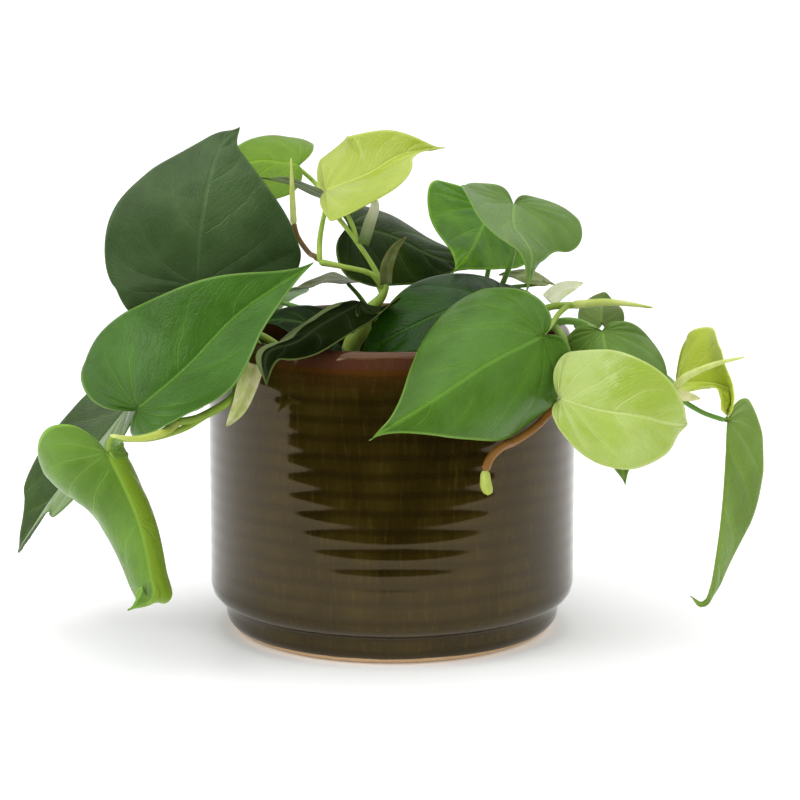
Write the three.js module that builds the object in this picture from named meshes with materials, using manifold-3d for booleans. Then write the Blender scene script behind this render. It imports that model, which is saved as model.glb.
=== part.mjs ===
// Potted heartleaf philodendron: glazed stoneware pot, potting soil, trailing stems and heart shaped leaves.
// Millimetres, +Z up, origin on the floor under the middle of the pot, front of the plant towards -Y.
import * as THREE from "three";
import { mergeVertices } from "three/addons/utils/BufferGeometryUtils.js";
import Module from "manifold-3d";

const wasm = await Module();
wasm.setup();

// Driving dimensions
const POT_RADIUS = 70;
const POT_HEIGHT = 116;
const WALL = 7.2;
const FOOT_RADIUS = 58.5;
const FLOOR_THICKNESS = 7;
const RIDGE_PITCH = 6.7;
const RIDGE_DEPTH = 0.45;
const RIDGES_FROM = 20;
const RIDGES_TO = 104;
const POT_SEGMENTS = 36;
const SOIL_TOP = 95;
const SOIL_BUMP = 1.4;
const CLEARANCE = 0.35;
const BLADE_THICKNESS = 0.7;
const LARGE_BLADE = { length: 36, marginSteps: 12, veinSteps: 3 };
const SMALL_BLADE = { marginSteps: 7, veinSteps: 2 };
const VEIN_SLANT = 0.7;

const COLORS = {
  glaze: 0x2f2808,
  soil: 0x2a1f17,
  dark: 0x2f4a26,
  deep: 0x263a1c,
  mid: 0x457a2c,
  fresh: 0x5f9a35,
  lime: 0xa3c234,
  stem: 0x8fae3a,
  petiole: 0x6f9a3c,
  sheath: 0xcdd79a,
  rust: 0xa0642a,
};

// One half of a heart outline, from the notch round the lobe to the tip, in shares of length and half width
const HEART = new THREE.SplineCurve(
  [
    [0, 0], [-0.1, 0.1], [-0.185, 0.28], [-0.2, 0.52], [-0.12, 0.78], [0.03, 0.96], [0.2, 1],
    [0.4, 0.88], [0.6, 0.63], [0.76, 0.37], [0.88, 0.16], [0.95, 0.055], [1, 0],
  ].map(([along, across]) => new THREE.Vector2(along, across)),
);
const HEART_LOBE = 0.2;
const FLAT = 1e-3;

// Leaf blades. rib: midrib from the petiole to the tip. up: direction of the upper face at both ends.
// half: half widths left and right of the midrib. lobe: depth of the notch on each side.
// fore and slim: how far forward the widest place lies and how slender the tip is.
// fold and foldTip: degrees that each half turns up at the base and at the tip. curl: its arch in degrees.
const LEAVES = {
  leaf_01_dark_upper_left: {
    rib: [[-72, -20.5, 134], [-71, -21, 152.5], [-68, -13, 172.5], [-63.5, -5, 185], [-57, -1.5, 191.5]],
    up: [[0.4, -0.9, 0.05], [0, -0.9, 0.4]],
    half: [35.5, 38.5], lobe: [0.21, 0.17], fore: 0.99, slim: 0.94,
    fold: [0, -2], foldTip: [-33, 8], curl: [16, 16], color: COLORS.dark,
  },
  leaf_02_front_left: {
    rib: [[-90.5, -62.5, 95], [-73.5, -55, 109], [-54.5, -49, 128], [-28, -44.5, 145.5]],
    up: [[-0.2, -0.7, 0.7], [0, -0.9, 0.45]],
    half: [39, 37.5], lobe: [0.11, 0.11], fore: 0.55, slim: 1.11,
    fold: [12, 21], foldTip: [33, 8], curl: [-38, 30], color: COLORS.mid,
  },
  leaf_03_rolled_left: {
    rib: [
      [-99, -84, 83.5], [-92.5, -84, 69], [-88, -82.5, 55.5], [-85, -84.5, 41], [-83.5, -90, 32.5],
      [-92.5, -89.5, 28],
    ],
    up: [[-0.05, -1, 0.1], [-0.2, -0.95, 0.05]],
    half: [31, 37], lobe: [-0.12, 0.24], fore: 1.35, slim: 1.17,
    fold: [-57, 17], foldTip: [-67, -35], curl: [-88, -103], color: COLORS.fresh,
  },
  leaf_04_folded_left: {
    rib: [[-98, -22.5, 89.5], [-112, -20, 72], [-125, -15, 57], [-134.5, -15, 42.5], [-143.5, -9, 29.5]],
    up: [[-0.6, -0.7, 0.35], [-0.6, -0.75, 0.25]],
    half: [38.5, 36], lobe: [0.2, 0.2], fore: 1.17, slim: 0.86,
    fold: [46, -27], foldTip: [54, -8], curl: [-17, 0], color: COLORS.dark,
  },
  leaf_05_behind_dark: {
    rib: [[-34, 34.5, 173], [-40.5, 37, 170.5], [-48, 35, 176.5], [-57, 36, 173.5], [-67, 34.5, 169.5]],
    up: [[-0.4, -0.55, 0.7], [-0.1, -0.85, 0.55]],
    half: [18.5, 19], lobe: [0.06, 0.06], fore: 0.98, slim: 0.66,
    fold: [9, 3], foldTip: [-17, 7], curl: [-8, -41], color: COLORS.fresh,
  },
  leaf_06_dark_edge_on: {
    rib: [[-18, 7, 162.5], [-28, 6.5, 166], [-38.5, 4.5, 170.5], [-49.5, 4, 172]],
    up: [[0.1, -0.25, 0.95], [-0.05, -0.35, 0.95]],
    half: [6.5, 7], lobe: [0.2, 0.2], fore: 1.02, slim: 0.88,
    fold: [4, -2], foldTip: [6, 6], curl: [4, -23], color: COLORS.deep,
  },
  leaf_07_lime_top: {
    rib: [[-24.5, -12.5, 168.5], [-8.5, -14, 175], [3.5, -8.5, 181.5], [20, -3.5, 184]],
    up: [[-0.25, -0.55, 0.8], [0.25, -0.75, 0.6]],
    half: [24.5, 24], lobe: [0.03, 0.05], fore: 1.08, slim: 1.56,
    fold: [-10, 28], foldTip: [19, 61], curl: [-4, -31], color: COLORS.lime,
  },
  leaf_08_dark_centre: {
    rib: [[-16, 15, 153], [-0.5, 20, 148.5], [14, 22.5, 141], [30, 20.5, 135.5]],
    up: [[0.35, -0.7, 0.6], [0.05, -0.75, 0.65]],
    half: [24, 25], lobe: [0.11, 0.11], fore: 1.02, slim: 0.82,
    fold: [-7, 6], foldTip: [-21, 6], curl: [-44, -21], color: COLORS.deep,
  },
  leaf_09_pot_mouth: {
    rib: [[40, -35, 127.5], [23.5, -35, 127.5], [5.5, -39.5, 120.5], [-11.5, -43.5, 111.5]],
    up: [[-0.05, -0.7, 0.75], [-0.15, -0.9, 0.45]],
    half: [18.5, 23], lobe: [0.2, 0.2], fore: 0.99, slim: 0.8,
    fold: [6, -18], foldTip: [6, 3], curl: [1, -18], color: COLORS.mid,
  },
  leaf_10_big_front: {
    rib: [[53.5, -64.5, 121.5], [34, -79, 114], [13.5, -94, 103], [-7.5, -106, 92]],
    up: [[0.35, -0.85, 0.35], [-0.05, -0.8, 0.6]],
    half: [35, 36], lobe: [0.13, 0.12], fore: 0.94, slim: 1.35,
    fold: [-17, -10], foldTip: [-31, -24], curl: [-46, -60], color: COLORS.mid,
  },
  leaf_11_lime_front_right: {
    rib: [[59, -76, 101], [72.5, -76, 97], [86.5, -76.5, 95], [97.5, -72, 91.5], [105.5, -64, 89.5]],
    up: [[0.2, -0.5, 0.85], [0.45, -0.85, 0.15]],
    half: [23.5, 25], lobe: [0.07, 0.05], fore: 1.14, slim: 1.13,
    fold: [2, 17], foldTip: [38, -19], curl: [20, -5], color: COLORS.lime,
  },
  leaf_12_hanging_behind: {
    rib: [[76, -46.5, 120.5], [79, -56, 104.5], [80.5, -64, 86.5], [83, -71, 69]],
    up: [[0.05, -0.8, 0.6], [-0.15, -0.95, 0.3]],
    half: [25, 22], lobe: [0.11, 0.11], fore: 1, slim: 1.06,
    fold: [-17, -23], foldTip: [13, -24], curl: [-33, -53], color: COLORS.dark,
  },
  leaf_13_small_dark: {
    rib: [[79, -10, 118.5], [79.5, -4.5, 122.5], [80, 1.5, 124.5], [81.5, 6.5, 128]],
    up: [[0, -0.55, 0.8], [0, -0.6, 0.8]],
    half: [9, 8.5], lobe: [0.2, 0.2], fore: 0.98, slim: 1.09,
    fold: [3, 1], foldTip: [4, -2], curl: [1, -1], color: COLORS.dark,
  },
  leaf_14_young_folded: {
    rib: [[105.5, -26.5, 98], [114.5, -33, 99.5], [121.5, -46.5, 100], [122, -57, 97.5], [121.5, -51.5, 90]],
    up: [[-0.35, -0.65, 0.7], [-0.45, -0.9, 0]],
    half: [21, 19], lobe: [0.02, 0.06], fore: 1.05, slim: 0.94,
    fold: [15, 56], foldTip: [76, 79], curl: [-19, -24], color: COLORS.lime,
  },
  leaf_15_hanging_right: {
    rib: [
      [122, -47, 87.5], [120.5, -54.5, 71], [119, -56.5, 49], [117, -52, 26.5], [114.5, -49, 20.5],
      [109.5, -51.5, 23.5],
    ],
    up: [[0.65, -0.75, 0.15], [0.55, -0.8, 0.1]],
    half: [23, 23], lobe: [0.14, 0.14], fore: 0.95, slim: 0.99,
    fold: [-2, -140], foldTip: [-9, -140], curl: [-3, -8], color: COLORS.fresh,
  },
  leaf_16_upper_right: {
    rib: [[45.5, -10.5, 163.5], [45, -27.5, 156.5], [50.5, -42.5, 148.5], [49, -45, 134.5]],
    up: [[0, -0.45, 0.9], [0.2, -0.95, 0.1]],
    half: [27.5, 21.5], lobe: [0.2, 0.2], fore: 0.7, slim: 1.21,
    fold: [-13, 18], foldTip: [-59, 31], curl: [-4, 8], color: COLORS.mid,
  },
  leaf_17_bright_behind: {
    rib: [[39, 18.5, 160], [33.5, 4, 151.5], [29, -9.5, 144.5], [22.5, -20, 138.5]],
    up: [[0.05, -0.65, 0.75], [0.05, -0.85, 0.55]],
    half: [24, 26], lobe: [0.12, 0.12], fore: 0.9, slim: 1.33,
    fold: [-17, -7], foldTip: [-46, -15], curl: [-17, 43], color: COLORS.fresh,
  },
  leaf_18_sliver: {
    rib: [[57.5, 3, 132.5], [50, 8, 134.5], [41, 13.5, 134]],
    up: [[0.2, 0.05, 0.95], [-0.1, -0.05, 1]],
    half: [6, 6], lobe: [0.2, 0.2], fore: 1.03, slim: 0.91,
    fold: [-5, 6], foldTip: [-9, 42], curl: [-23, -8], color: COLORS.dark,
  },
  leaf_19_over_rim: {
    rib: [
      [-11.5, -23.5, 128], [-25, -44, 123], [-33.5, -63.5, 119.5], [-43.5, -72.5, 116.5], [-43.5, -81, 105.5],
    ],
    up: [[0, -0.35, 0.95], [-0.05, -0.55, 0.85]],
    half: [21.5, 16], lobe: [-0.16, 0.04], fore: 1, slim: 1.02,
    fold: [-9, -9], foldTip: [-21, -14], curl: [67, -32], color: COLORS.deep,
  },
  leaf_20_back_edge_on: {
    rib: [[-17, 32.5, 129.5], [-24.5, 33, 130], [-31.5, 34.5, 127.5], [-39.5, 35.5, 126]],
    up: [[0.05, 0.05, 1], [-0.1, -0.15, 1]],
    half: [9.5, 9.5], lobe: [0.2, 0.2], fore: 0.99, slim: 1.1,
    fold: [1, 2], foldTip: [-2, 21], curl: [-8, 0], color: COLORS.dark,
  },
  leaf_21_in_mouth: {
    rib: [[-22, -8, 112], [-32, -10, 118], [-42, -12, 120], [-50, -14, 119]],
    up: [[0.2, -0.6, 0.75], [0, -0.6, 0.8]],
    half: [11, 11], lobe: [0.15, 0.15], fore: 1, slim: 1,
    fold: [8, 8], foldTip: [8, 8], curl: [-10, -10], color: COLORS.deep,
  },
  leaf_22_back_right: {
    rib: [[30, 68, 121], [36, 82, 115], [41, 92, 98], [43, 94, 76]],
    up: [[0.25, 0.6, 0.75], [0.3, 0.95, 0.1]],
    half: [23, 23], lobe: [0.18, 0.18], fore: 1, slim: 1,
    fold: [8, 8], foldTip: [8, 8], curl: [-30, -30], color: COLORS.mid,
  },
  leaf_23_back_left: {
    rib: [[-50, 50, 121], [-60, 62, 116], [-70, 72, 100], [-76, 76, 80]],
    up: [[-0.45, 0.45, 0.75], [-0.6, 0.75, 0.1]],
    half: [21, 21], lobe: [0.18, 0.18], fore: 1, slim: 1,
    fold: [8, 8], foldTip: [8, 8], curl: [-30, -30], color: COLORS.mid,
  },
};

// Sheaths and flaps: narrow blades without a notch
const SHEATH_FORM = { lobe: [0.01, 0.01], fore: 1.1, slim: 0.6, color: COLORS.sheath };
const SHEATHS = {
  sheath_centre: {
    rib: [[-2.5, -10.8, 133.5], [-2, -13, 140], [1, -14.6, 147], [5.5, -15, 151.5]],
    up: [[0.2, -0.9, 0.3], [0.2, -0.9, 0.3]],
    half: [2.6, 2.6], fold: [25, 25], foldTip: [25, 25], curl: [-5, -5],
  },
  sheath_top_flap: {
    rib: [[-10.8, -2.6, 147.5], [-8.5, -0.5, 155], [-6.5, 1, 161], [-7, 0, 166]], fore: 1.6,
    up: [[0, -0.9, 0.4], [0, -0.9, 0.4]],
    half: [3.2, 3.2], fold: [5, 5], foldTip: [5, 5], curl: [-5, -5],
  },
  sheath_left_rim: {
    rib: [[-49, -60, 110.5], [-51, -63.9, 104], [-54, -63.9, 96], [-59, -62, 88.5]],
    up: [[-0.1, -0.95, 0.2], [-0.1, -0.95, 0.2]],
    half: [4, 4], fold: [20, 20], foldTip: [20, 20], curl: [-5, -5],
  },
  sheath_right_back: {
    rib: [[58, -26.2, 129], [63, -22.5, 132.5], [71, -20, 135]],
    up: [[-0.2, -0.9, 0.4], [-0.2, -0.9, 0.4]],
    half: [3.4, 3.4], fold: [15, 15], foldTip: [15, 15], curl: [-5, -5],
  },
  sheath_right_node: {
    rib: [[101.5, -53.5, 98.5], [106, -55, 98], [111, -55.5, 97.5]],
    up: [[0, -0.8, 0.6], [0, -0.8, 0.6]],
    half: [2.4, 2.4], fold: [20, 20], foldTip: [20, 20], curl: [-5, -5],
  },
};

// Round limbs: a path in millimetres with its radius at each point
const SHOOTS = {
  stem_main: {
    color: COLORS.stem,
    soil: true,
    limbs: [
      {
        path: [[-20, -4, 86], [-16, -6, 107], [-12, -6, 115], [-9, -7, 122], [-4, -8, 128], [-2, -8, 133]],
        radius: [3.4, 3.4, 3.6, 3.1, 2.6, 1.9],
      },
      {
        path: [[-3, -8, 131], [-8, -9.5, 137], [-18, -12.5, 140], [-27, -14, 142]],
        radius: [1.2, 1.1, 1, 1.3],
      },
      {
        path: [[-3, -8, 131], [-7, -4, 139], [-14, 0, 149], [-21, 8, 157], [-27, 24, 162], [-30, 36, 167]],
        end: "leaf_05_behind_dark",
        radius: [1.1, 1, 0.9, 0.9, 0.9, 0.9, 0.8],
      },
      { path: [[-13, -0.5, 147.5], [-15, 3, 154]], end: "leaf_06_dark_edge_on", radius: [0.9, 0.9, 0.8] },
      {
        path: [[-27, -14, 142], [-27, -12.5, 149], [-26, -10.5, 156]],
        end: "leaf_07_lime_top",
        radius: [1.1, 1, 0.9, 0.8],
      },
      {
        path: [[-3, -8, 128], [-4, 3, 128], [-8, 14, 136], [-13, 22, 147]],
        end: "leaf_08_dark_centre",
        radius: [1, 0.9, 0.9, 0.9, 0.8],
      },
    ],
  },
  shoot_tip_stem: {
    color: COLORS.rust,
    limbs: [{
      path: [[-28.8, -12.6, 144], [-31, -8, 144.6], [-34, -5, 148], [-36, -4, 151.5], [-37, -4, 156]],
      radius: [1, 1, 1, 1, 1],
    }],
  },
  shoot_tip_top: {
    color: COLORS.lime,
    limbs: [{ path: [[-37, -4, 156.4], [-37.4, -3.6, 165], [-37.8, -3, 180]], radius: [1.3, 1.1, 0.35] }],
  },
  stem_left: {
    color: COLORS.petiole,
    soil: true,
    limbs: [
      {
        path: [
          [-30, -28, 86], [-36, -28, 104], [-45, -32, 115], [-55, -39, 118.6], [-58, -48, 110],
          [-56, -60, 100], [-67, -69, 93.5], [-76, -76, 92.5],
        ],
        radius: [1.9, 1.9, 1.6, 1.6, 1.7, 1.6, 1.5, 1.4],
      },
      {
        path: [[-65, -67, 94], [-73, -73, 90], [-84, -76, 87], [-93, -78, 87], [-98, -79.5, 87.5]],
        end: "leaf_03_rolled_left",
        radius: [1.2, 1.2, 1.1, 1, 1, 1],
      },
    ],
  },
  shoot_tip_left: {
    color: COLORS.sheath,
    limbs: [{
      path: [[-77.4, -78, 92.3], [-78.8, -92.5, 92], [-87, -98, 91], [-96, -99, 92.3]],
      radius: [1.7, 1.5, 1, 0.6],
    }],
  },
  petioles_left: {
    color: COLORS.petiole,
    soil: true,
    limbs: [
      {
        path: [[-40, -18, 86], [-44, -24, 108], [-55, -29, 120.5], [-68, -38, 113], [-80, -45, 102]],
        end: "leaf_02_front_left",
        radius: [1.3, 1.3, 1.2, 1.1, 1, 1],
      },
      {
        path: [[-44, -24, 106], [-52, -16, 116], [-62, -8, 124], [-69, -12, 131]],
        end: "leaf_01_dark_upper_left",
        radius: [1.2, 1.2, 1.1, 1, 1],
      },
      {
        path: [[-61, -33, 117.6], [-74, -36, 104], [-86, -42, 98]],
        end: "leaf_04_folded_left",
        radius: [1, 1, 1, 1],
      },
    ],
  },
  stem_right: {
    color: COLORS.petiole,
    soil: true,
    limbs: [
      {
        path: [[36, -14, 86], [42, -18, 106], [50, -25, 122], [58, -29, 127], [68, -30, 128]],
        radius: [1.7, 1.6, 1.5, 1.3, 1.3],
      },
      {
        path: [[65, -30, 128], [61, -36, 125.5], [57, -46, 122]],
        end: "leaf_10_big_front",
        radius: [1.1, 1, 0.9, 0.9],
      },
      {
        path: [[42, -18, 104], [42, -28, 112], [42, -36, 118]],
        end: "leaf_09_pot_mouth",
        radius: [1.1, 1, 0.9, 0.9],
      },
    ],
  },
  shoot_tip_right: {
    color: COLORS.lime,
    limbs: [{
      path: [[68.4, -30, 128], [78, -30, 129], [86, -30, 128.5], [96, -30, 127]],
      radius: [1.6, 1.4, 1, 0.35],
    }],
  },
  stem_far_right: {
    color: COLORS.petiole,
    soil: true,
    limbs: [
      {
        path: [
          [46, -4, 86], [50, -12, 104], [57, -21, 118], [68, -24, 121], [80, -26, 115], [93, -34, 107],
          [101.5, -42, 101.5], [102, -50, 99.5],
        ],
        radius: [1.6, 1.6, 1.5, 1.4, 1.4, 1.3, 1.3, 1.4],
      },
      { path: [[72, -24, 120], [75, -31, 119]], end: "leaf_12_hanging_behind", radius: [1, 0.9, 0.8] },
      { path: [[68, -24, 120], [73, -14, 114]], end: "leaf_13_small_dark", radius: [1, 0.9, 0.8] },
      {
        path: [[102, -49, 100], [105, -48.5, 96], [113, -47.5, 91], [121.2, -47, 88]],
        radius: [1.2, 1, 0.9, 0.9],
      },
      {
        path: [[88, -32, 109], [94, -27, 103], [99, -23.5, 99.5]],
        end: "leaf_14_young_folded",
        radius: [1, 1, 0.9, 0.9],
      },
    ],
  },
  shoot_tip_far_right: {
    color: COLORS.lime,
    limbs: [{
      path: [[101.2, -51, 101.4], [106, -55, 105.5], [116, -58, 110.5], [126, -58, 113]],
      radius: [1.5, 1.4, 1, 0.35],
    }],
  },
  stem_front_cut: {
    color: COLORS.rust,
    soil: true,
    limbs: [
      {
        path: [
          [44, -26, 86], [47, -28, 108], [51, -31, 118], [58, -37, 121], [62, -44, 118], [63, -45, 110],
          [62, -46, 102], [59.5, -49.5, 94.5], [56, -51.5, 90.5], [51, -56, 86.5], [44, -61.5, 83],
          [39, -69, 82.3], [35, -74, 79.5], [33, -76, 75.2],
        ],
        radius: [1.7, 1.7, 1.6, 1.6, 1.6, 1.6, 1.5, 1.5, 1.5, 1.5, 1.5, 1.5, 1.5, 1.6],
      },
      {
        path: [[59.5, -49.5, 94.5], [60.5, -58, 94.5], [60, -68, 97]],
        end: "leaf_11_lime_front_right",
        radius: [1.2, 1.1, 1, 0.9],
      },
    ],
  },
  cut_end: {
    color: COLORS.sheath,
    limbs: [{ path: [[32.9, -76, 73.8], [33.4, -76, 70], [34.8, -76, 67]], radius: [1.9, 2.4, 2.2] }],
  },
  petioles_back_right: {
    color: COLORS.petiole,
    soil: true,
    limbs: [
      {
        path: [[26, 8, 86], [34, 6, 110], [40, -4, 128], [45, -14, 144], [46, -12, 156]],
        end: "leaf_16_upper_right",
        radius: [1.3, 1.2, 1.1, 1, 0.9, 0.9],
      },
      {
        path: [[34, 6, 110], [36, 18, 128], [40, 27, 148]],
        end: "leaf_17_bright_behind",
        radius: [1.1, 1, 0.9, 0.9],
      },
      { path: [[37, 1, 120], [38, 8, 128]], end: "leaf_18_sliver", radius: [0.9, 0.8, 0.7] },
    ],
  },
  petioles_back: {
    color: COLORS.petiole,
    soil: true,
    limbs: [
      {
        path: [[4, 26, 86], [3, 29, 98], [-4, 30, 110], [-12, 31, 122]],
        end: "leaf_20_back_edge_on",
        radius: [1.3, 1.2, 1, 0.9, 0.8],
      },
      {
        path: [[3, 29, 98], [10, 44, 111], [20, 57, 117.8]],
        end: "leaf_22_back_right",
        radius: [1.1, 1.1, 1, 0.9],
      },
      {
        path: [[-4, 30, 109], [-22, 37, 113], [-40, 43, 118]],
        end: "leaf_23_back_left",
        radius: [1, 1, 1, 0.9],
      },
    ],
  },
  petiole_mouth: {
    color: COLORS.petiole,
    soil: true,
    limbs: [{ path: [[-14, 6, 86], [-16, 2, 100]], end: "leaf_21_in_mouth", radius: [1.1, 1, 0.9] }],
  },
  petiole_over_rim: {
    color: COLORS.petiole,
    soil: true,
    limbs: [{
      path: [[14, -12, 86], [14, -13, 108], [8, -16, 120], [0, -20, 123.5]],
      end: "leaf_19_over_rim",
      radius: [1.3, 1.2, 1.1, 1.1, 0.9],
    }],
  },
};

const vector = (p) => new THREE.Vector3(...p);
const mix = THREE.MathUtils.lerp;

class Blade {
  constructor(form) {
    this.form = form;
    this.curve = new THREE.CatmullRomCurve3(form.rib.map(vector), false, "catmullrom", 0.5);
    this.length = this.curve.getLength();
    this.up = form.up.map(vector);
    this.slant = (VEIN_SLANT * (form.half[0] + form.half[1])) / 2 / this.length;
  }

  // Midrib point with its tangent, the direction to the right and the direction of the upper face
  frame(along) {
    const inside = THREE.MathUtils.clamp(along, 0, 1);
    const tangent = this.curve.getTangentAt(inside);
    const point = this.curve.getPointAt(inside).addScaledVector(tangent, (along - inside) * this.length);
    const up = this.up[0].clone().lerp(this.up[1], inside);
    const right = tangent.clone().cross(up).normalize();
    return { point, tangent, right, normal: right.clone().cross(tangent) };
  }

  // Point of the half blade on one side: along the midrib by length, across by share of the half width
  at(along, across, side) {
    const { form } = this;
    const which = side < 0 ? 0 : 1;
    const inside = THREE.MathUtils.clamp(along, 0, 1);
    const fold = THREE.MathUtils.degToRad(mix(form.fold[which], form.foldTip[which], inside));
    const curl = THREE.MathUtils.degToRad(form.curl[which]) || FLAT;
    const radius = form.half[which] / curl;
    const out = radius * (Math.sin(fold + curl * across) - Math.sin(fold));
    const rise = radius * (Math.cos(fold) - Math.cos(fold + curl * across));
    const { point, right, normal } = this.frame(along);
    return point.addScaledVector(right, side * out).addScaledVector(normal, rise);
  }

  // Outline of the half blade at a share of the way from the notch to the tip, and the foot of the vein there
  outline(share, side) {
    const { lobe, fore, slim } = this.form;
    const p = HEART.getPoint(share);
    const across = Math.max(0, p.y) ** slim;
    if (p.x < 0) return { along: (p.x * lobe[side < 0 ? 0 : 1]) / HEART_LOBE, across, foot: 0 };
    const along = p.x + (fore - 1) * p.x * (1 - p.x);
    return { along, across, foot: Math.max(0, along - this.slant * across) };
  }
}

// A blade as a thin closed body: rows of lateral veins on both halves, the same triangles on both faces
function bladeGeometry(form) {
  const blade = new Blade(form);
  const { marginSteps, veinSteps } = blade.length > LARGE_BLADE.length ? LARGE_BLADE : SMALL_BLADE;
  const points = [];
  const ids = new Map();
  const rim = { [-1]: [], 1: [] };
  const faces = [];
  const vertex = (key, place) => {
    if (!ids.has(key)) {
      ids.set(key, points.length);
      points.push(place());
    }
    return ids.get(key);
  };
  const rows = (side) =>
    Array.from({ length: marginSteps + 1 }, (_, i) => {
      const { along, across, foot } = blade.outline(i / marginSteps, side);
      return Array.from({ length: veinSteps + 1 }, (_, j) => {
        const share = j / veinSteps;
        let key = `${side}/${i}/${j}`;
        if (i === marginSteps) key = "tip";
        else if (i === 0 || (j === 0 && foot === 0)) key = "base";
        else if (j === 0) key = `rib/${i}`;
        return vertex(key, () => blade.at(mix(foot, along, share), across * share, side));
      });
    });
  for (const side of [-1, 1]) {
    const grid = rows(side);
    rim[side] = grid.map((row) => row[veinSteps]);
    for (let i = 0; i < marginSteps; i++) {
      for (let j = 0; j < veinSteps; j++) {
        const [a, b, c, d] = [grid[i][j], grid[i][j + 1], grid[i + 1][j + 1], grid[i + 1][j]];
        for (const face of [[a, b, c], [a, c, d]]) {
          if (new Set(face).size === 3) faces.push(side > 0 ? face : face.reverse());
        }
      }
    }
  }
  return thicken(points, faces, [...rim[1], ...rim[-1].slice(1, -1).reverse()]);
}

// Two copies of a surface, half the thickness to each side, closed round its rim
function thicken(points, faces, rim) {
  const normals = points.map(() => new THREE.Vector3());
  for (const face of faces) {
    const [a, b, c] = face.map((i) => points[i]);
    const normal = b.clone().sub(a).cross(c.clone().sub(a)).normalize();
    face.forEach((i) => normals[i].add(normal));
  }
  normals.forEach((n) => n.normalize());
  const count = points.length;
  const position = [1, -1].flatMap((sign) =>
    points.flatMap((p, i) => p.clone().addScaledVector(normals[i], (sign * BLADE_THICKNESS) / 2).toArray()),
  );
  const index = faces.flatMap(([a, b, c]) => [a, b, c, a + count, c + count, b + count]);
  rim.forEach((a, k) => {
    const b = rim[(k + 1) % rim.length];
    index.push(b, a, a + count, b, a + count, b + count);
  });
  return new THREE.BufferGeometry()
    .setAttribute("position", new THREE.Float32BufferAttribute(position, 3))
    .setIndex(index);
}

// Under face of a blade beside its petiole, midway between its two halves
function seat(name, radius) {
  const form = LEAVES[name];
  const { point, tangent, right, normal } = new Blade(form).frame(0);
  const [turnLeft, turnRight] = form.fold.map((fold) => THREE.MathUtils.degToRad(fold));
  const down = right
    .multiplyScalar(Math.sin(turnRight) - Math.sin(turnLeft))
    .addScaledVector(normal, -Math.cos(turnRight) - Math.cos(turnLeft))
    .normalize();
  const gap = (BLADE_THICKNESS / 2 + CLEARANCE + radius) / Math.cos((turnLeft + turnRight) / 2);
  return point.addScaledVector(down, gap).addScaledVector(tangent, radius);
}

const LIMB_SIDES = 6;
const LIMB_STEPS_PER_SPAN = 2;

// A round limb along a smooth path, closed at both ends
function limbGeometry({ path, radius, end }, grow = 0, sink = 0) {
  const places = path.map(vector);
  if (end) places.push(seat(end, radius.at(-1)));
  places[0].z -= sink;
  const curve = new THREE.CatmullRomCurve3(places, false, "catmullrom", 0.5);
  const steps = LIMB_STEPS_PER_SPAN * (places.length - 1);
  const tangent = (t) => curve.getTangent(t);
  const position = [];
  const index = [];
  let side = new THREE.Vector3(0.31, 0.87, 0.39);
  for (let k = 0; k <= steps; k++) {
    const t = k / steps;
    const along = tangent(t);
    side = side.addScaledVector(along, -side.dot(along)).normalize();
    const other = along.clone().cross(side);
    const span = Math.min(Math.floor(k / LIMB_STEPS_PER_SPAN), radius.length - 2);
    const r = mix(radius[span], radius[span + 1], k / LIMB_STEPS_PER_SPAN - span) + grow;
    const centre = curve.getPoint(t);
    for (let s = 0; s < LIMB_SIDES; s++) {
      const angle = (2 * Math.PI * s) / LIMB_SIDES;
      const p = centre.clone().addScaledVector(side, r * Math.cos(angle));
      position.push(...p.addScaledVector(other, r * Math.sin(angle)).toArray());
    }
  }
  for (let k = 0; k < steps; k++) {
    for (let s = 0; s < LIMB_SIDES; s++) {
      const next = (s + 1) % LIMB_SIDES;
      const [a, b] = [k * LIMB_SIDES + s, k * LIMB_SIDES + next];
      index.push(a, b, b + LIMB_SIDES, a, b + LIMB_SIDES, a + LIMB_SIDES);
    }
  }
  const last = steps * LIMB_SIDES;
  for (let s = 1; s < LIMB_SIDES - 1; s++) {
    index.push(0, s + 1, s, last, last + s, last + s + 1);
  }
  return new THREE.BufferGeometry()
    .setAttribute("position", new THREE.Float32BufferAttribute(position, 3))
    .setIndex(index);
}

function toSolid(geometry) {
  const bare = geometry.clone();
  bare.deleteAttribute("normal");
  bare.deleteAttribute("uv");
  const merged = mergeVertices(bare, 1e-3);
  const vertProperties = merged.attributes.position.array;
  const triVerts = new Uint32Array(merged.index.array);
  return new wasm.Manifold(new wasm.Mesh({ numProp: 3, vertProperties, triVerts }));
}

function toGeometry(solid) {
  const mesh = solid.getMesh();
  return new THREE.BufferGeometry()
    .setAttribute("position", new THREE.BufferAttribute(Float32Array.from(mesh.vertProperties), 3))
    .setIndex(new THREE.BufferAttribute(mesh.triVerts, 1));
}

function shootGeometry(shoot) {
  const limbs = shoot.limbs.map((limb) => toSolid(limbGeometry(limb)));
  return toGeometry(limbs.reduce((joined, limb) => joined.add(limb)));
}

function turned(profile) {
  const line = profile.map(([r, z]) => new THREE.Vector2(r, z));
  return new THREE.LatheGeometry(line, POT_SEGMENTS).rotateX(Math.PI / 2);
}

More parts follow.
